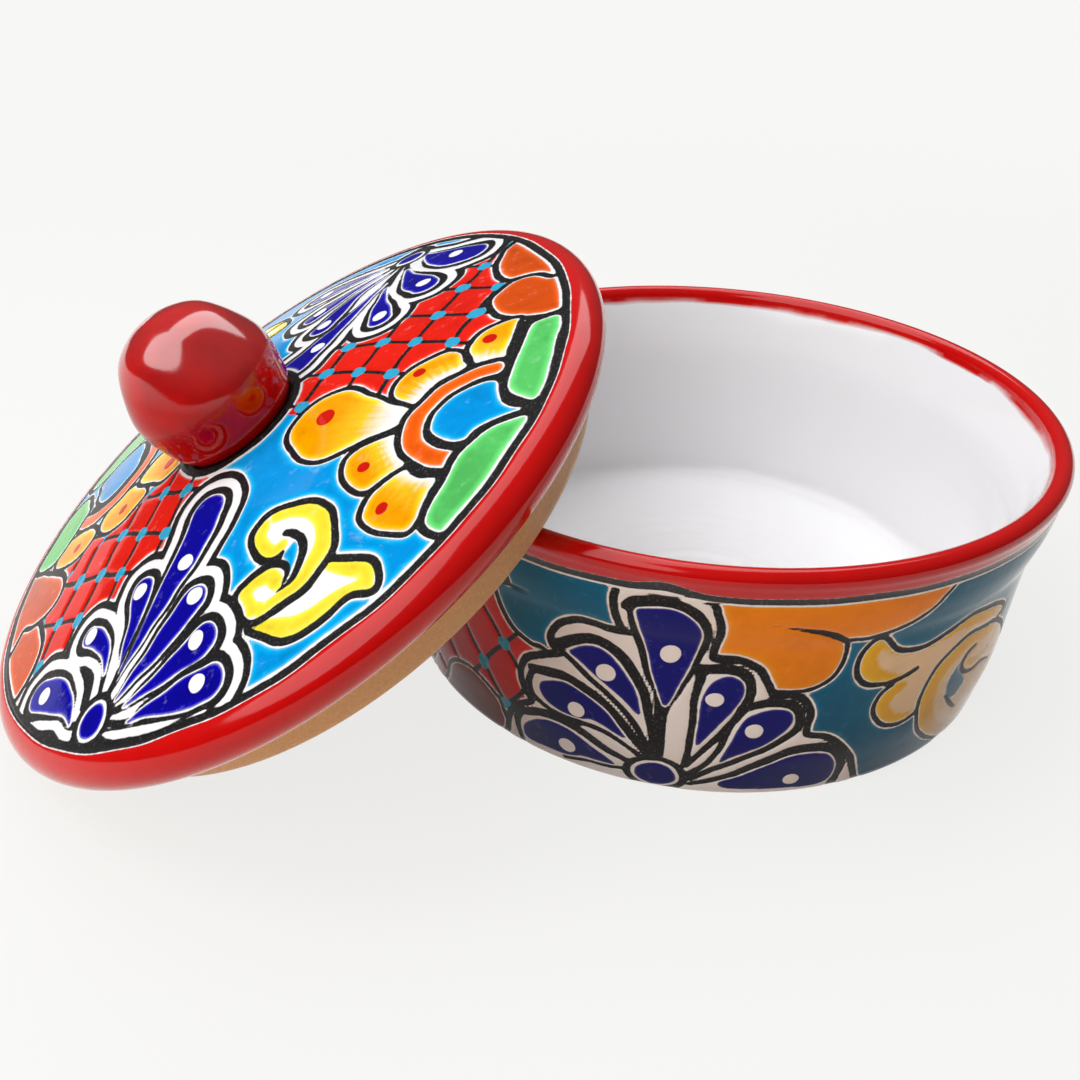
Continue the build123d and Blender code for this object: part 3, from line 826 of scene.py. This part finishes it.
def paint_wall(turn, height, hue):
    """The bowl's wall unrolled: arc length each side of a fan, the same twice round."""
    s = ((turn + FAN_BEARING) * WALL_SCALE - WALL_START) % WALL_REPEAT + WALL_START
    height = np.interp(height, WALL_LEVELS, DRAWN_LEVELS)
    art = Painting(s + 0.3 * wander(s, height, 30.0, 1.0), height + 0.3 * wander(s, height, 30.0, 2.0))
    blue = art.region(BLUE_WALL)
    blue = np.where((s > -30) & (s < 130), -FAR, blue)
    paint_lattice(art, hue, blue > 0, (-53.0, 39.6), (9.6, -12.3), (9.6, 12.3))
    art.lay(blue, hue.teal, line=1.8, halo=0.5)
    art.ink(art.stroke(BLUE_TAIL_WALL))
    art.lay(art.region(DARK_CLOUD_WALL), np.array(hue.brown) * 0.5, line=1.8, halo=0.5)
    art.lay(art.region(BACK_CLOUD_WALL), hue.brown, line=1.8, halo=0.5)
    art.lay(art.region(CLOUD_WALL), hue.amber, line=1.5, halo=0.45)
    art.ink(art.stroke(CLOUD_FOLD_WALL))
    gold = 0.45 * np.array(hue.yellow) + 0.55 * np.array(hue.orange)
    for piece, bands in zip(SCROLL_WALL, (BANDS_WALL[:3], BANDS_WALL[3:])):
        gap = art.region(piece)
        art.lay(gap, line=1.8, halo=0.5)
        art.colour(np.maximum(gap + 0.5, -1.2), hue.cream)
        for band in bands:
            art.colour(np.maximum(art.stroke(band) - 1.2, gap + 0.3), gold)
    art.lay(art.region(POCKET_WALL), hue.teal, line=0.0, halo=0.3)
    for hook in HOOKS_WALL:
        art.ink(art.stroke(hook))
    spread = dict(turn=135.0, size=0.8, shift=(199.0, 78.0))
    paint_flower(art, hue, [moved(p, **spread) for p in PETALS_NEAR], moved(RING_NEAR, **spread),
                 moved(HEART_NEAR, **spread), [moved(p, **spread) for p in LEAVES_NEAR],
                 moved(SPOTS_NEAR, **spread), moved([CENTRE_NEAR], **spread)[0], spread["size"])
    art.lay(art.region(WHITE_WALL), line=2.5, halo=0.6)
    for path in LINES_WALL:
        art.ink(art.stroke(path) - 0.25)
    deep = 0.75 * np.array(hue.cobalt)
    for feather in FEATHERS_WALL:
        gap = art.region(feather)
        art.line = np.maximum(art.line, 0.5 - gap)
        art.colour(gap, deep)
    heart = (np.hypot(art.p[:, 0] / 6.6, (art.p[:, 1] - 5.8) / 5.2) - 1.0) * 5.6
    art.lay(heart - 1.0, line=2.3, halo=0.0)
    art.colour(heart, deep)
    art.dab(SPOTS_WALL, DOT_WHITE)
    # The line below the lip rises over the fan
    top = LIP_LINE + 0.5 * wander(s, 0 * s, 40.0, 6.0) + 3.2 * np.exp(-((s + 2.0) / 7.0) ** 2)
    art.patch = np.maximum(art.patch, height - top + 2.7)
    art.dot = np.maximum(art.dot, height - top + 2.0)
    pale = 2.6 + 1.5 * np.exp(-((s + 2.0) / 14.0) ** 2)
    art.line = np.minimum(np.maximum(art.line, height - top + pale), np.abs(height - top - 0.4) - 2.0)
    art.colour(top + 2.4 - height, hue.red)
    return art


# Object making

def make_object(name, points, faces, values=None, colours=None):
    """Mesh object at the origin from points in metres, with per-point numbers and colours."""
    mesh = bpy.data.meshes.new(name)
    mesh.vertices.add(len(points))
    mesh.vertices.foreach_set("co", np.asarray(points, np.float32).ravel())
    sizes = np.concatenate([np.full(len(rows), rows.shape[1], np.int32) for rows in faces])
    loops = np.concatenate([rows.ravel() for rows in faces]).astype(np.int32)
    mesh.loops.add(len(loops))
    mesh.loops.foreach_set("vertex_index", loops)
    mesh.polygons.add(len(sizes))
    mesh.polygons.foreach_set("loop_start", np.concatenate([[0], np.cumsum(sizes)[:-1]]).astype(np.int32))
    mesh.update(calc_edges=True)
    if mesh.validate():
        raise RuntimeError(f"{name}: the mesh has faces that Blender had to mend")
    mesh.polygons.foreach_set("use_smooth", np.ones(len(sizes), bool))
    for key, row in (values or {}).items():
        layer = mesh.attributes.new(key, "FLOAT", "POINT")
        layer.data.foreach_set("value", np.asarray(row, np.float32))
    for key, rows in (colours or {}).items():
        layer = mesh.attributes.new(key, "FLOAT_COLOR", "POINT")
        shades = np.ones((len(points), 4), np.float32)
        shades[:, :3] = rows
        layer.data.foreach_set("color", shades.ravel())
    obj = bpy.data.objects.new(name, mesh)
    bpy.context.scene.collection.objects.link(obj)
    return obj


# Shader expressions

class Sock:
    """A socket in a node tree with arithmetic: each operation adds a Math node."""

    def __init__(self, tree, socket):
        self.tree, self.socket = tree, socket

    def node(self, kind, settings=None, inputs=None, output=0):
        """Adds a node: settings first, then a value or a link for each named or numbered socket."""
        made = self.tree.nodes.new(kind)
        for key, value in (settings or {}).items():
            setattr(made, key, value)
        for key, value in (inputs or {}).items():
            socket = made.inputs[key]
            if isinstance(value, Sock):
                self.tree.links.new(value.socket, socket)
            else:
                socket.default_value = value
        return Sock(self.tree, made.outputs[output])

    def math(self, operation, other):
        """Math node with this socket first."""
        return self.node("ShaderNodeMath", {"operation": operation}, {0: self, 1: other})

    def flipped(self, operation, other):
        """Math node with this socket second."""
        return self.node("ShaderNodeMath", {"operation": operation}, {0: other, 1: self})

    def __add__(self, other):
        return self.math("ADD", other)

    def __radd__(self, other):
        return self.flipped("ADD", other)

    def __sub__(self, other):
        return self.math("SUBTRACT", other)

    def __rsub__(self, other):
        return self.flipped("SUBTRACT", other)

    def __mul__(self, other):
        return self.math("MULTIPLY", other)

    def __rmul__(self, other):
        return self.flipped("MULTIPLY", other)

    def step(self, low, high):
        """Smooth rise from 0 at low to 1 at high."""
        return self.node("ShaderNodeMapRange", {"interpolation_type": "SMOOTHSTEP"},
                         {"Value": self, "From Min": low, "From Max": high})

    def blend(self, under, over):
        """Colour mix: under where this is 0, over where it is 1.  The node's sockets share names, so
        its factor, its two colours and its result go by number."""
        return self.node("ShaderNodeMix", {"data_type": "RGBA"}, {0: self, 6: under, 7: over}, output=2)


class Finish:
    """A new material with its shader and the textures that the finishes share."""

    def __init__(self, name):
        self.material = bpy.data.materials.new(name)
        self.material.use_nodes = True
        self.tree = self.material.node_tree
        self.shader = next(n for n in self.tree.nodes if n.type == "BSDF_PRINCIPLED")
        self.hand = Sock(self.tree, None)

    def place(self):
        """Object coordinates."""
        return self.hand.node("ShaderNodeTexCoord", output="Object")

    def noise(self, scale, detail=2.0, rough=0.5):
        """Noise on the object's coordinates, 0 to 1."""
        return self.hand.node("ShaderNodeTexNoise", None, {
            "Vector": self.place(), "Scale": scale, "Detail": detail, "Roughness": rough})

    def value(self, name):
        """A number kept at the mesh's points."""
        return self.hand.node("ShaderNodeAttribute", {"attribute_name": name}, output="Fac")

    def colour(self, name):
        """A colour kept at the mesh's points."""
        return self.hand.node("ShaderNodeAttribute", {"attribute_name": name}, output="Color")

    def scaled(self, colour, by):
        """A colour made lighter or darker by one factor."""
        return self.hand.node("ShaderNodeVectorMath", {"operation": "SCALE"}, {0: colour, "Scale": by})

    def feed(self, name, value):
        """Links a socket to the shader, or sets the shader's own socket to a fixed value."""
        socket = self.shader.inputs[name]
        if isinstance(value, Sock):
            self.tree.links.new(value.socket, socket)
        else:
            socket.default_value = value

    def bump(self, height, depth):
        """Surface normal of a height, where a height of 1 stands for the depth in metres."""
        return self.hand.node("ShaderNodeBump", None, {
            "Height": height, "Distance": depth, "Strength": 1.0})


def rgba(colour):
    """A colour with full alpha."""
    return (*tuple(colour)[:3], 1.0)


def painted_glaze(name, hue):
    """Glossy glaze over brush work read from the piece's own attributes."""
    f = Finish(name)
    # Noise makes the brush's edges unsteady
    shake = (f.noise(420.0, 3.0) - 0.5) * 0.5
    line = f.value("line") + shake
    patch = f.value("patch") + shake * 0.8
    dot = f.value("dot") + shake * 0.6
    wash, bare = f.value("wash"), f.value("bare")
    streak = f.noise(230.0, 4.0, 0.62)
    cloud = f.noise(48.0, 3.0, 0.55)
    speck = f.noise(1300.0, 2.0, 0.6)
    grit = f.noise(900.0, 4.0, 0.7)
    # Colour lies thin and thick, and thins to a paler edge where the wash is wet
    paint = f.colour("tint")
    deep = f.scaled(paint, 0.70)
    paint = ((cloud * 0.6 + streak * 0.4).step(0.56, 0.34) * (0.25 + wash * 0.45)).blend(paint, deep)
    bright = f.hand.node("ShaderNodeVectorMath", {"operation": "MINIMUM"}, {
        0: f.scaled(paint, 2.0), 1: (0.92, 0.92, 0.92)})
    paint = (patch.step(-2.4, -0.3) * 0.55 * wash).blend(paint, bright)
    # Pale edges of thin glaze, and pale streaks along the brush that are partly thin glaze and partly a
    # painted sheen of the glaze
    pale = (patch.step(-0.8, 0.1) * 0.22 + streak.step(0.58, 0.80) * 0.16) * wash
    paint = pale.blend(paint, rgba(hue.white))
    body = patch.step(0.18, -0.18).blend(rgba(hue.white), paint)
    ink = line.step(0.16, -0.16)
    black = (speck.step(0.55, 0.8) * 0.10).blend(rgba(hue.black), rgba(hue.white))
    body = ink.blend(body, black)
    spot = dot.step(0.15, -0.15)
    body = spot.blend(body, f.colour("dot_tint"))
    # Bare clay is gritty, lines are less glossy than the glaze beside them
    clay = grit.step(0.35, 0.7).blend(rgba(np.array(hue.clay) * 0.86), rgba(hue.clay))
    f.feed("Base Color", bare.blend(body, clay))
    wet = 0.06 + cloud * 0.05 + ink * (1.0 - spot) * 0.24
    f.feed("Roughness", wet + bare * 0.22)
    ripple = f.noise(38.0, 2.0) * 0.6 + f.noise(150.0, 2.0) * 0.16
    groove = line.step(-0.5, 0.9) * 0.35 + dot.step(0.4, -0.6) * 0.25
    f.feed("Normal", f.bump(ripple * (1.0 - bare) + groove + grit * bare * 0.35, 0.0004))
    f.feed("Coat Weight", wash.step(0.3, 0.0) * (1.0 - bare) * 0.8)
    f.feed("Coat Roughness", 0.12)
    f.feed("Coat IOR", 1.40)
    f.feed("IOR", 1.22)
    return f.material


def red_glaze(name, hue):
    """Deep glossy red, a little clouded."""
    f = Finish(name)
    cloud = f.noise(60.0, 3.0, 0.55)
    fleck = f.noise(700.0, 2.0, 0.6)
    f.feed("Base Color", cloud.step(0.35, 0.7).blend(rgba(np.array(hue.red) * 0.72), rgba(hue.red)))
    f.feed("Roughness", 0.06 + cloud * 0.05)
    f.feed("Normal", f.bump(f.noise(45.0, 2.0) * 0.7 + fleck * 0.08, 0.0004))
    f.feed("Coat Weight", f.value("thick"))
    f.feed("Coat Roughness", 0.12)
    f.feed("Coat IOR", 1.95)
    f.feed("IOR", 1.33)
    return f.material


def lid_frame(sizes):
    """Middle of the lid's edge, and the lid's axes: down the slope, towards the front, up the knob."""
    c, s = math.cos(sizes.lid_lean), math.sin(sizes.lid_lean)
    axes = np.array([[-c, 0.0, -s], [0.0, -1.0, 0.0], [-s, 0.0, c]])
    return np.array(sizes.lid_place), axes


def unpainted(count):
    """Point values of plain white glaze: every brush mark out of reach."""
    return ({key: np.full(count, FAR) for key in MARKS}, {key: np.ones((count, 3)) for key in TINTS})


def apply_art(values, tints, where, art):
    """Copies a painting's marks and colours to the points that it was drawn on."""
    for key in MARKS:
        values[key][where] = getattr(art, key)
    for key in TINTS:
        tints[key][where] = getattr(art, key)


def tint_between(first, second, share):
    """A share of the second colour in the first, for each point."""
    return np.array(first) * (1 - share) + np.array(second) * share


def line_depth(sizes, line):
    """How deep the painted lines lie in the glaze: the relief, fading out beside a line."""
    return sizes.relief / MM * np.exp(-np.maximum(line, 0) / RELIEF_FADE)


def dress(obj, body, node, material):
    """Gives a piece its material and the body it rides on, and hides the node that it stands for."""
    obj.data.materials.append(material)
    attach(obj, body)
    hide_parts(node)


# Operators

def bowl_section(lip, high):
    """Runs of the bowl's section as radius and height: flat base, rounded foot, swelling wall up to the
    flared collar, rolled lip, inside and floor, with the number of points of each ring."""
    flat = lip - FOOT_INSET
    foot = arc_points((flat, FOOT_ROUND), (FOOT_ROUND, FOOT_ROUND), -90, 0, 8)
    wall = even_steps(smooth_curve([
        (lip - 11.8, FOOT_ROUND), (lip - 10.3, 10.0), (lip - 8.7, 20.0), (lip - 7.8, 35.0),
        (lip - 6.9, high - 39.5), (lip - 5.9, high - 29.5), (lip - 4.1, high - 23.5),
        (lip - 2.5, high - 17.5), (lip - 1.65, high - 12.5), (lip - 1.05, high - 8.5),
        (lip - 0.53, high - 5.35)], 2.0), 84)
    roll = arc_points((lip - LIP_ROUND, high - LIP_ROUND), (LIP_ROUND, LIP_ROUND), -32, 180, 18)
    cove_level = FLOOR_THICK + COVE
    inside = even_steps(join(
        smooth_curve([
            (lip - 2.0 * LIP_ROUND, high - LIP_ROUND), (lip - 10.4, high - 12.0), (lip - 14.0, high - 24.0),
            (lip - 15.0, 50.0), (lip - 15.4, 35.0), (lip - 17.4, 21.0),
            (lip - COVE_INSET + COVE, cove_level)], 2.0),
        arc_points((lip - COVE_INSET, cove_level), (COVE, COVE), 0, -90, 10)[1:]), 56)
    floor = flat_run(inside[-1, 0], 0.0, FLOOR_THICK, 46)
    runs = [flat_run(0.0, flat, 0.0, 12), foot[1:], wall[1:], roll[1:], inside[1:], floor[1:]]
    plain, half = [BOWL_POINTS], [BOWL_POINTS // 2]
    double, fine = [2 * BOWL_POINTS], [4 * BOWL_POINTS]
    counts = [[1] + plain * 11, plain * 2 + fine * 5, fine * 83, double * 17, plain * 55,
              plain * 30 + half * 14 + [1]]
    return runs, counts


class WARMER_OT_bowl(bpy.types.Operator):
    """Turns the bowl and paints its wall"""

    bl_idname = "warmer.bowl"
    bl_label = "Bowl"

    def execute(self, context):
        sizes, hue = context.scene.warmer_sizes, context.scene.warmer_glaze
        lip, high = sizes.lip_radius / MM, sizes.bowl_height / MM
        body, zone = turn_runs(*bowl_section(lip, high))
        turn = np.degrees(body.angle)
        values, tints = unpainted(len(turn))
        values["bare"] = np.where(zone == BASE, 1.0, 0.0)
        values["wash"] = np.where((zone == WALL) & (body.height < 79.0), 0.35, 0.0)
        side = (zone == FOOT) | (zone == WALL)
        apply_art(values, tints, side, paint_wall(turn[side], body.height[side], hue))
        # Painted shade: the wall's colours darken towards the foot, where less light reaches the wall
        tints["tint"][side] *= (0.60 + 0.40 * (body.height[side] / 50.0).clip(0.0, 1.0))[:, None]
        values["patch"][zone == LIP] = -FAR
        tints["tint"][zone == LIP] = hue.red
        # The lip's red runs unevenly over the inside and thins out at its edge
        inner = zone >= INSIDE
        depth = (high - LIP_ROUND) - body.height
        edge = 1.0 + 1.2 * wander(turn, 0 * turn, 38.0, 4.0) + 0.2 * wander(turn, 0 * turn, 14.0, 9.0)
        soft = 1.2 + 0.9 * wander(turn, 0 * turn, 60.0, 12.0)
        values["patch"][inner] = (depth - edge - soft)[inner]
        fade = ((depth - edge + 0.2) / (soft + 0.2)).clip(0.0, 1.0)[inner, None]
        tints["tint"][inner] = tint_between(hue.red, hue.white, fade)
        # Hand throwing: not quite round, faint rings inside, a spiral on the floor
        outline = 1.2 + 0.8 * np.sin(2 * body.angle + 0.7) + 0.4 * np.sin(3 * body.angle)
        body.radius -= (0.02 + 0.14 * outline) * (body.radius > 60)
        body.radius += (zone == INSIDE) * 0.025 * np.sin(body.height * 0.8 + body.angle)
        swirl = np.sin(body.radius * TAU / 8.5 + body.angle) * np.exp(-((body.radius - 22) / 26.0) ** 2)
        body.height += (zone == FLOOR) * 0.30 * swirl
        body.radius -= np.where(side, line_depth(sizes, values["line"]), 0.0)
        obj = make_object("painted_bowl", body.local() * MM, body.faces(), values, tints)
        dress(obj, "bowl", "bowl", painted_glaze("bowl_glaze", hue))
        return {"FINISHED"}


def lid_section(edge, crown):
    """Runs of the lid's section as radius and height, from the vent outwards underneath, round the
    flange, over the edge and back over the face to the vent, with the number of points of each ring."""
    rim = edge - EDGE_RUN
    roof = smooth_curve([(ROOF_RADIUS, -0.2), (59.6, 9.7), (CROWN_RADIUS, crown - SHELL)], 2.0)
    underside = even_steps(join([(VENT_RADIUS, crown - SHELL)], roof[::-1]), 34)
    flange_wall = np.array([(ROOF_RADIUS, -4.0), (ROOF_RADIUS, -9.0), (ROOF_RADIUS, -14.0)])
    flange = join([(FLANGE_ROOT, -EDGE_UNDER), (FLANGE_RADIUS, FLANGE_LEVEL)],
                  arc_points((FLANGE_RADIUS - FLANGE_ROUND, FLANGE_LEVEL), (FLANGE_ROUND, FLANGE_ROUND),
                             0, -180, 12))
    seat = np.array([(106.0, -EDGE_UNDER), (109.0, -EDGE_UNDER)])
    under = arc_points((edge - EDGE_UNDER, 0.0), (EDGE_UNDER, EDGE_UNDER), 0, -90, 9)
    shoulder = arc_points((rim, 0.0), (EDGE_RUN, EDGE_OVER), 90, 0, 20)
    face = np.concatenate([flat_run(VENT_RADIUS, CROWN_RADIUS - 1.0, crown, 12),
                           smooth_curve([(CROWN_RADIUS, crown), (66.45, 17.3), (rim, EDGE_OVER)], 1.0)])
    face = even_steps(face[::-1], 118)[1:]
    runs = [underside, flange_wall, even_steps(flange[::-1], 20), seat,
            join(under[::-1], shoulder[::-1][1:]), face]
    counts = [[LID_POINTS] * len(run) for run in runs[:EDGE]] + [[2 * LID_POINTS] * len(runs[EDGE])]
    counts.append(LID_POINTS * np.where(face[:, 0] > 58.0, 4, np.where(face[:, 0] > 24.0, 2, 1)))
    return runs, counts


class WARMER_OT_lid(bpy.types.Operator):
    """Turns the lid, sets it leaning and paints its face"""

    bl_idname = "warmer.lid"
    bl_label = "Lid"

    def execute(self, context):
        sizes, hue = context.scene.warmer_sizes, context.scene.warmer_glaze
        body, zone = turn_runs(*lid_section(sizes.edge_radius / MM, sizes.crown_height / MM))
        x, y = body.radius * np.cos(body.angle), body.radius * np.sin(body.angle)
        values, tints = unpainted(len(x))
        values["bare"] = np.where((zone >= FLANGE_WALL) & (zone <= SEAT), 1.0, 0.0)
        values["wash"] = np.where((zone == FACE) & (body.radius < 110.0), 1.0, 0.0)
        shown = (zone == FACE) | ((zone == EDGE) & (body.height > 0.5))
        apply_art(values, tints, shown, paint_lid(x[shown], y[shown], hue))
        # Painted warm bounce light: the edge's red turns towards orange near the seat, where warm light
        # from the floor falls
        band = (zone == EDGE) & ~shown
        values["patch"][band] = -FAR
        thin = 0.45 * ((0.5 - body.height[band]) / 7.2).clip(0.0, 1.0)[:, None]
        tints["tint"][band] = tint_between(hue.red, hue.coral, thin)
        body.height -= np.where(shown, line_depth(sizes, values["line"]), 0.0)
        # Hand throwing: the face sways a little, and a ring of slip stands round the knob's foot
        upper = (zone >= EDGE) * ((body.height + EDGE_UNDER) / 8.0).clip(0.0, 1.0)
        sway = 1.0 + np.sin(2 * body.angle + 0.4)
        body.height -= upper * 0.20 * sway * (body.radius / 118.0) ** 2
        body.height += (zone == FACE) * 0.7 * np.exp(-((body.radius - 21.9) / 1.1) ** 2)
        place, axes = lid_frame(sizes)
        points = body.local() * MM @ axes + place
        # The vent's wall joins the last ring to the first
        faces = body.faces()
        last, first = body.starts[-2], body.starts[0]
        j = np.arange(LID_POINTS)
        k = (j + 1) % LID_POINTS
        faces.append(np.stack([last + j, last + k, first + k, first + j], 1))
        obj = make_object("painted_lid", points, faces, values, tints)
        dress(obj, "lid", "lid", painted_glaze("lid_glaze", hue))
        return {"FINISHED"}


class WARMER_OT_knob(bpy.types.Operator):
    """Turns the hollow knob that stands on the lid's crown"""

    bl_idname = "warmer.knob"
    bl_label = "Knob"

    def execute(self, context):
        sizes, hue = context.scene.warmer_sizes, context.scene.warmer_glaze
        tall, wide = sizes.knob_height / MM, sizes.knob_radius / MM
        # Section from the top of the hollow down to the foot and up over the bulb to its top
        rise, hollow = tall - BELLY_AT, wide - KNOB_WALL
        outer = even_steps(smooth_curve([
            (KNOB_FOOT, 0.0), (22.6, 5.0), (wide, BELLY_AT), (wide * 0.955, 23.4),
            (wide * 0.69, BELLY_AT + rise * 0.75), (wide * 0.36, tall - 1.6), (0.0, tall)], 1.0), 60)
        inner = even_steps(smooth_curve([
            (KNOB_FOOT - 5.0, 0.0), (hollow, BELLY_AT),
            (hollow * 0.69, BELLY_AT + (rise - KNOB_WALL) * 0.75), (0.0, tall - KNOB_WALL)], 2.0), 16)[::-1]
        rings = len(inner) + len(outer) - 2
        body = Turned(np.concatenate([inner, outer]), [1] + [KNOB_POINTS] * rings + [1])
        shell = body.ring >= len(inner)
        # The bulb is a little lumpy, and stays inside its round outline
        lump = 1.0 - np.sin(2 * body.angle + 1.0)
        body.radius *= 1 - shell * 0.006 * lump * np.sin(np.pi * body.height / tall)
        body.height *= np.where(shell, 0.994, 1.0)
        place, axes = lid_frame(sizes)
        local = body.local()
        local[:, 2] += sizes.crown_height / MM
        points = local * MM @ axes + place
        # The glaze lies thickest on top
        middle = (points[:, 2].min() + points[:, 2].max()) / 2.0
        thick = 0.05 + 0.95 * ((points[:, 2] - middle) / MM / 12.0).clip(0.0, 1.0)
        obj = make_object("glazed_knob", points, body.faces(), {"thick": thick})
        dress(obj, "lid", "knob", red_glaze("knob_glaze", hue))
        return {"FINISHED"}


class WARMER_OT_stage(bpy.types.Operator):
    """Pale floor, soft lights and the camera"""

    bl_idname = "warmer.stage"
    bl_label = "Stage"

    def execute(self, context):
        scene, stage = context.scene, context.scene.warmer_stage
        # Flat floor: a square grid at the height zero
        span = np.linspace(-FLOOR_HALF, FLOOR_HALF, FLOOR_SIDE)
        gx, gy = np.meshgrid(span, span)
        points = np.stack([gx.ravel(), gy.ravel(), np.zeros(gx.size)], 1)
        cell = np.arange(FLOOR_SIDE - 1)
        i = (cell[:, None] * FLOOR_SIDE + cell[None]).ravel()
        corners = [i, i + 1, i + FLOOR_SIDE + 1, i + FLOOR_SIDE]
        floor = make_object("floor", points, [np.stack(corners, 1)])
        # The floor shows the pale backdrop to the eye and in reflections, and keeps a share of its shadow
        f = Finish("floor_paper")
        camera_ray, glossy_ray, clear_ray = (
            f.hand.node("ShaderNodeLightPath", output=name)
            for name in ("Is Camera Ray", "Is Glossy Ray", "Is Transmission Ray"))
        f.feed("Base Color", camera_ray.blend(rgba(stage.bounce), rgba(stage.floor)))
        f.feed("Roughness", 0.8)
        f.feed("Specular IOR Level", 0.1)
        seen = camera_ray.math("MAXIMUM", glossy_ray).math("MAXIMUM", clear_ray)
        far = f.hand.node("ShaderNodeVectorMath", {"operation": "LENGTH"}, {0: f.place()}, output="Value")
        glow = f.hand.node("ShaderNodeEmission", None, {"Color": rgba(stage.backdrop), "Strength": 1.0})
        mixed = f.hand.node("ShaderNodeMixShader", None, {
            0: seen * (0.86 + far.step(0.25, 1.0) * 0.14), 1: Sock(f.tree, f.shader.outputs[0]), 2: glow})
        end = next(n for n in f.tree.nodes if n.type == "OUTPUT_MATERIAL")
        f.tree.links.new(mixed.socket, end.inputs["Surface"])
        floor.data.materials.append(f.material)
        # Soft lamps overhead, side by side along one turned direction
        c, s = math.cos(LAMP_TURN), math.sin(LAMP_TURN)
        for name, shape, along, across, length, width in LAMPS:
            light = bpy.data.lights.new(name, "AREA")
            light.shape, light.size, light.size_y = shape, length, width
            light.energy = stage.soft * length * width * (math.pi / 4.0 if shape == "ELLIPSE" else 1.0)
            lamp = bpy.data.objects.new(name, light)
            scene.collection.objects.link(lamp)
            lamp.location = (along * c - across * s, along * s + across * c, LAMP_HEIGHT)
            lamp.rotation_euler = (0.0, 0.0, LAMP_TURN)
        # The world is a white sky that brightens upwards
        world = bpy.data.worlds.new("studio")
        scene.world = world
        world.use_nodes = True
        back = next(n for n in world.node_tree.nodes if n.type == "BACKGROUND")
        hand = Sock(world.node_tree, None)
        way = hand.node("ShaderNodeTexCoord", output="Generated")
        up = hand.node("ShaderNodeSeparateXYZ", None, {0: way}, output="Z")
        back.inputs["Color"].default_value = (1.0, 1.0, 1.0, 1.0)
        level = up.step(0.0, 0.9) * stage.fill + 0.08
        world.node_tree.links.new(level.socket, back.inputs["Strength"])
        data = bpy.data.cameras.new("camera")
        data.sensor_width, data.lens = 36.0, stage.lens
        data.clip_start, data.clip_end = 0.02, 50.0
        camera = bpy.data.objects.new("camera", data)
        scene.collection.objects.link(camera)
        turn = Matrix((Vector(CAMERA_RIGHT), -Vector(CAMERA_DOWN), -Vector(CAMERA_AHEAD))).transposed()
        camera.matrix_world = Matrix.Translation(CAMERA_PLACE) @ turn.to_4x4()
        scene.camera = camera
        scene.view_settings.view_transform = "Standard"
        return {"FINISHED"}


class WARMER_PT_panel(bpy.types.Panel):
    """Lists the pieces and their settings"""

    bl_idname = "WARMER_PT_panel"
    bl_label = "Tortilla warmer"
    bl_space_type = "VIEW_3D"
    bl_region_type = "UI"
    bl_category = "Warmer"

    def draw(self, context):
        """One button for each step, then the settings."""
        column = self.layout.column(align=True)
        for kind in STEPS:
            column.operator(kind.bl_idname)
        for group in (context.scene.warmer_sizes, context.scene.warmer_glaze, context.scene.warmer_stage):
            box = self.layout.box()
            for key in group.bl_rna.properties.keys():
                if key not in ("rna_type", "name"):
                    box.prop(group, key)


STEPS = (WARMER_OT_bowl, WARMER_OT_lid, WARMER_OT_knob, WARMER_OT_stage)
CLASSES = (WarmerSizes, GlazeColours, StageSettings) + STEPS + (WARMER_PT_panel,)
GROUPS = {"warmer_sizes": WarmerSizes, "warmer_glaze": GlazeColours, "warmer_stage": StageSettings}


def register():
    """Registers the classes and hangs their settings on the scene."""
    for kind in CLASSES:
        bpy.utils.register_class(kind)
    for key, kind in GROUPS.items():
        setattr(bpy.types.Scene, key, bpy.props.PointerProperty(type=kind))


def unregister():
    """Takes the settings and the classes away again."""
    for key in GROUPS:
        delattr(bpy.types.Scene, key)
    for kind in reversed(CLASSES):
        bpy.utils.unregister_class(kind)


def main():
    register()
    bpy.ops.warmer.bowl()
    bpy.ops.warmer.lid()
    bpy.ops.warmer.knob()
    bpy.ops.warmer.stage()


if __name__ == "__main__":
    main()
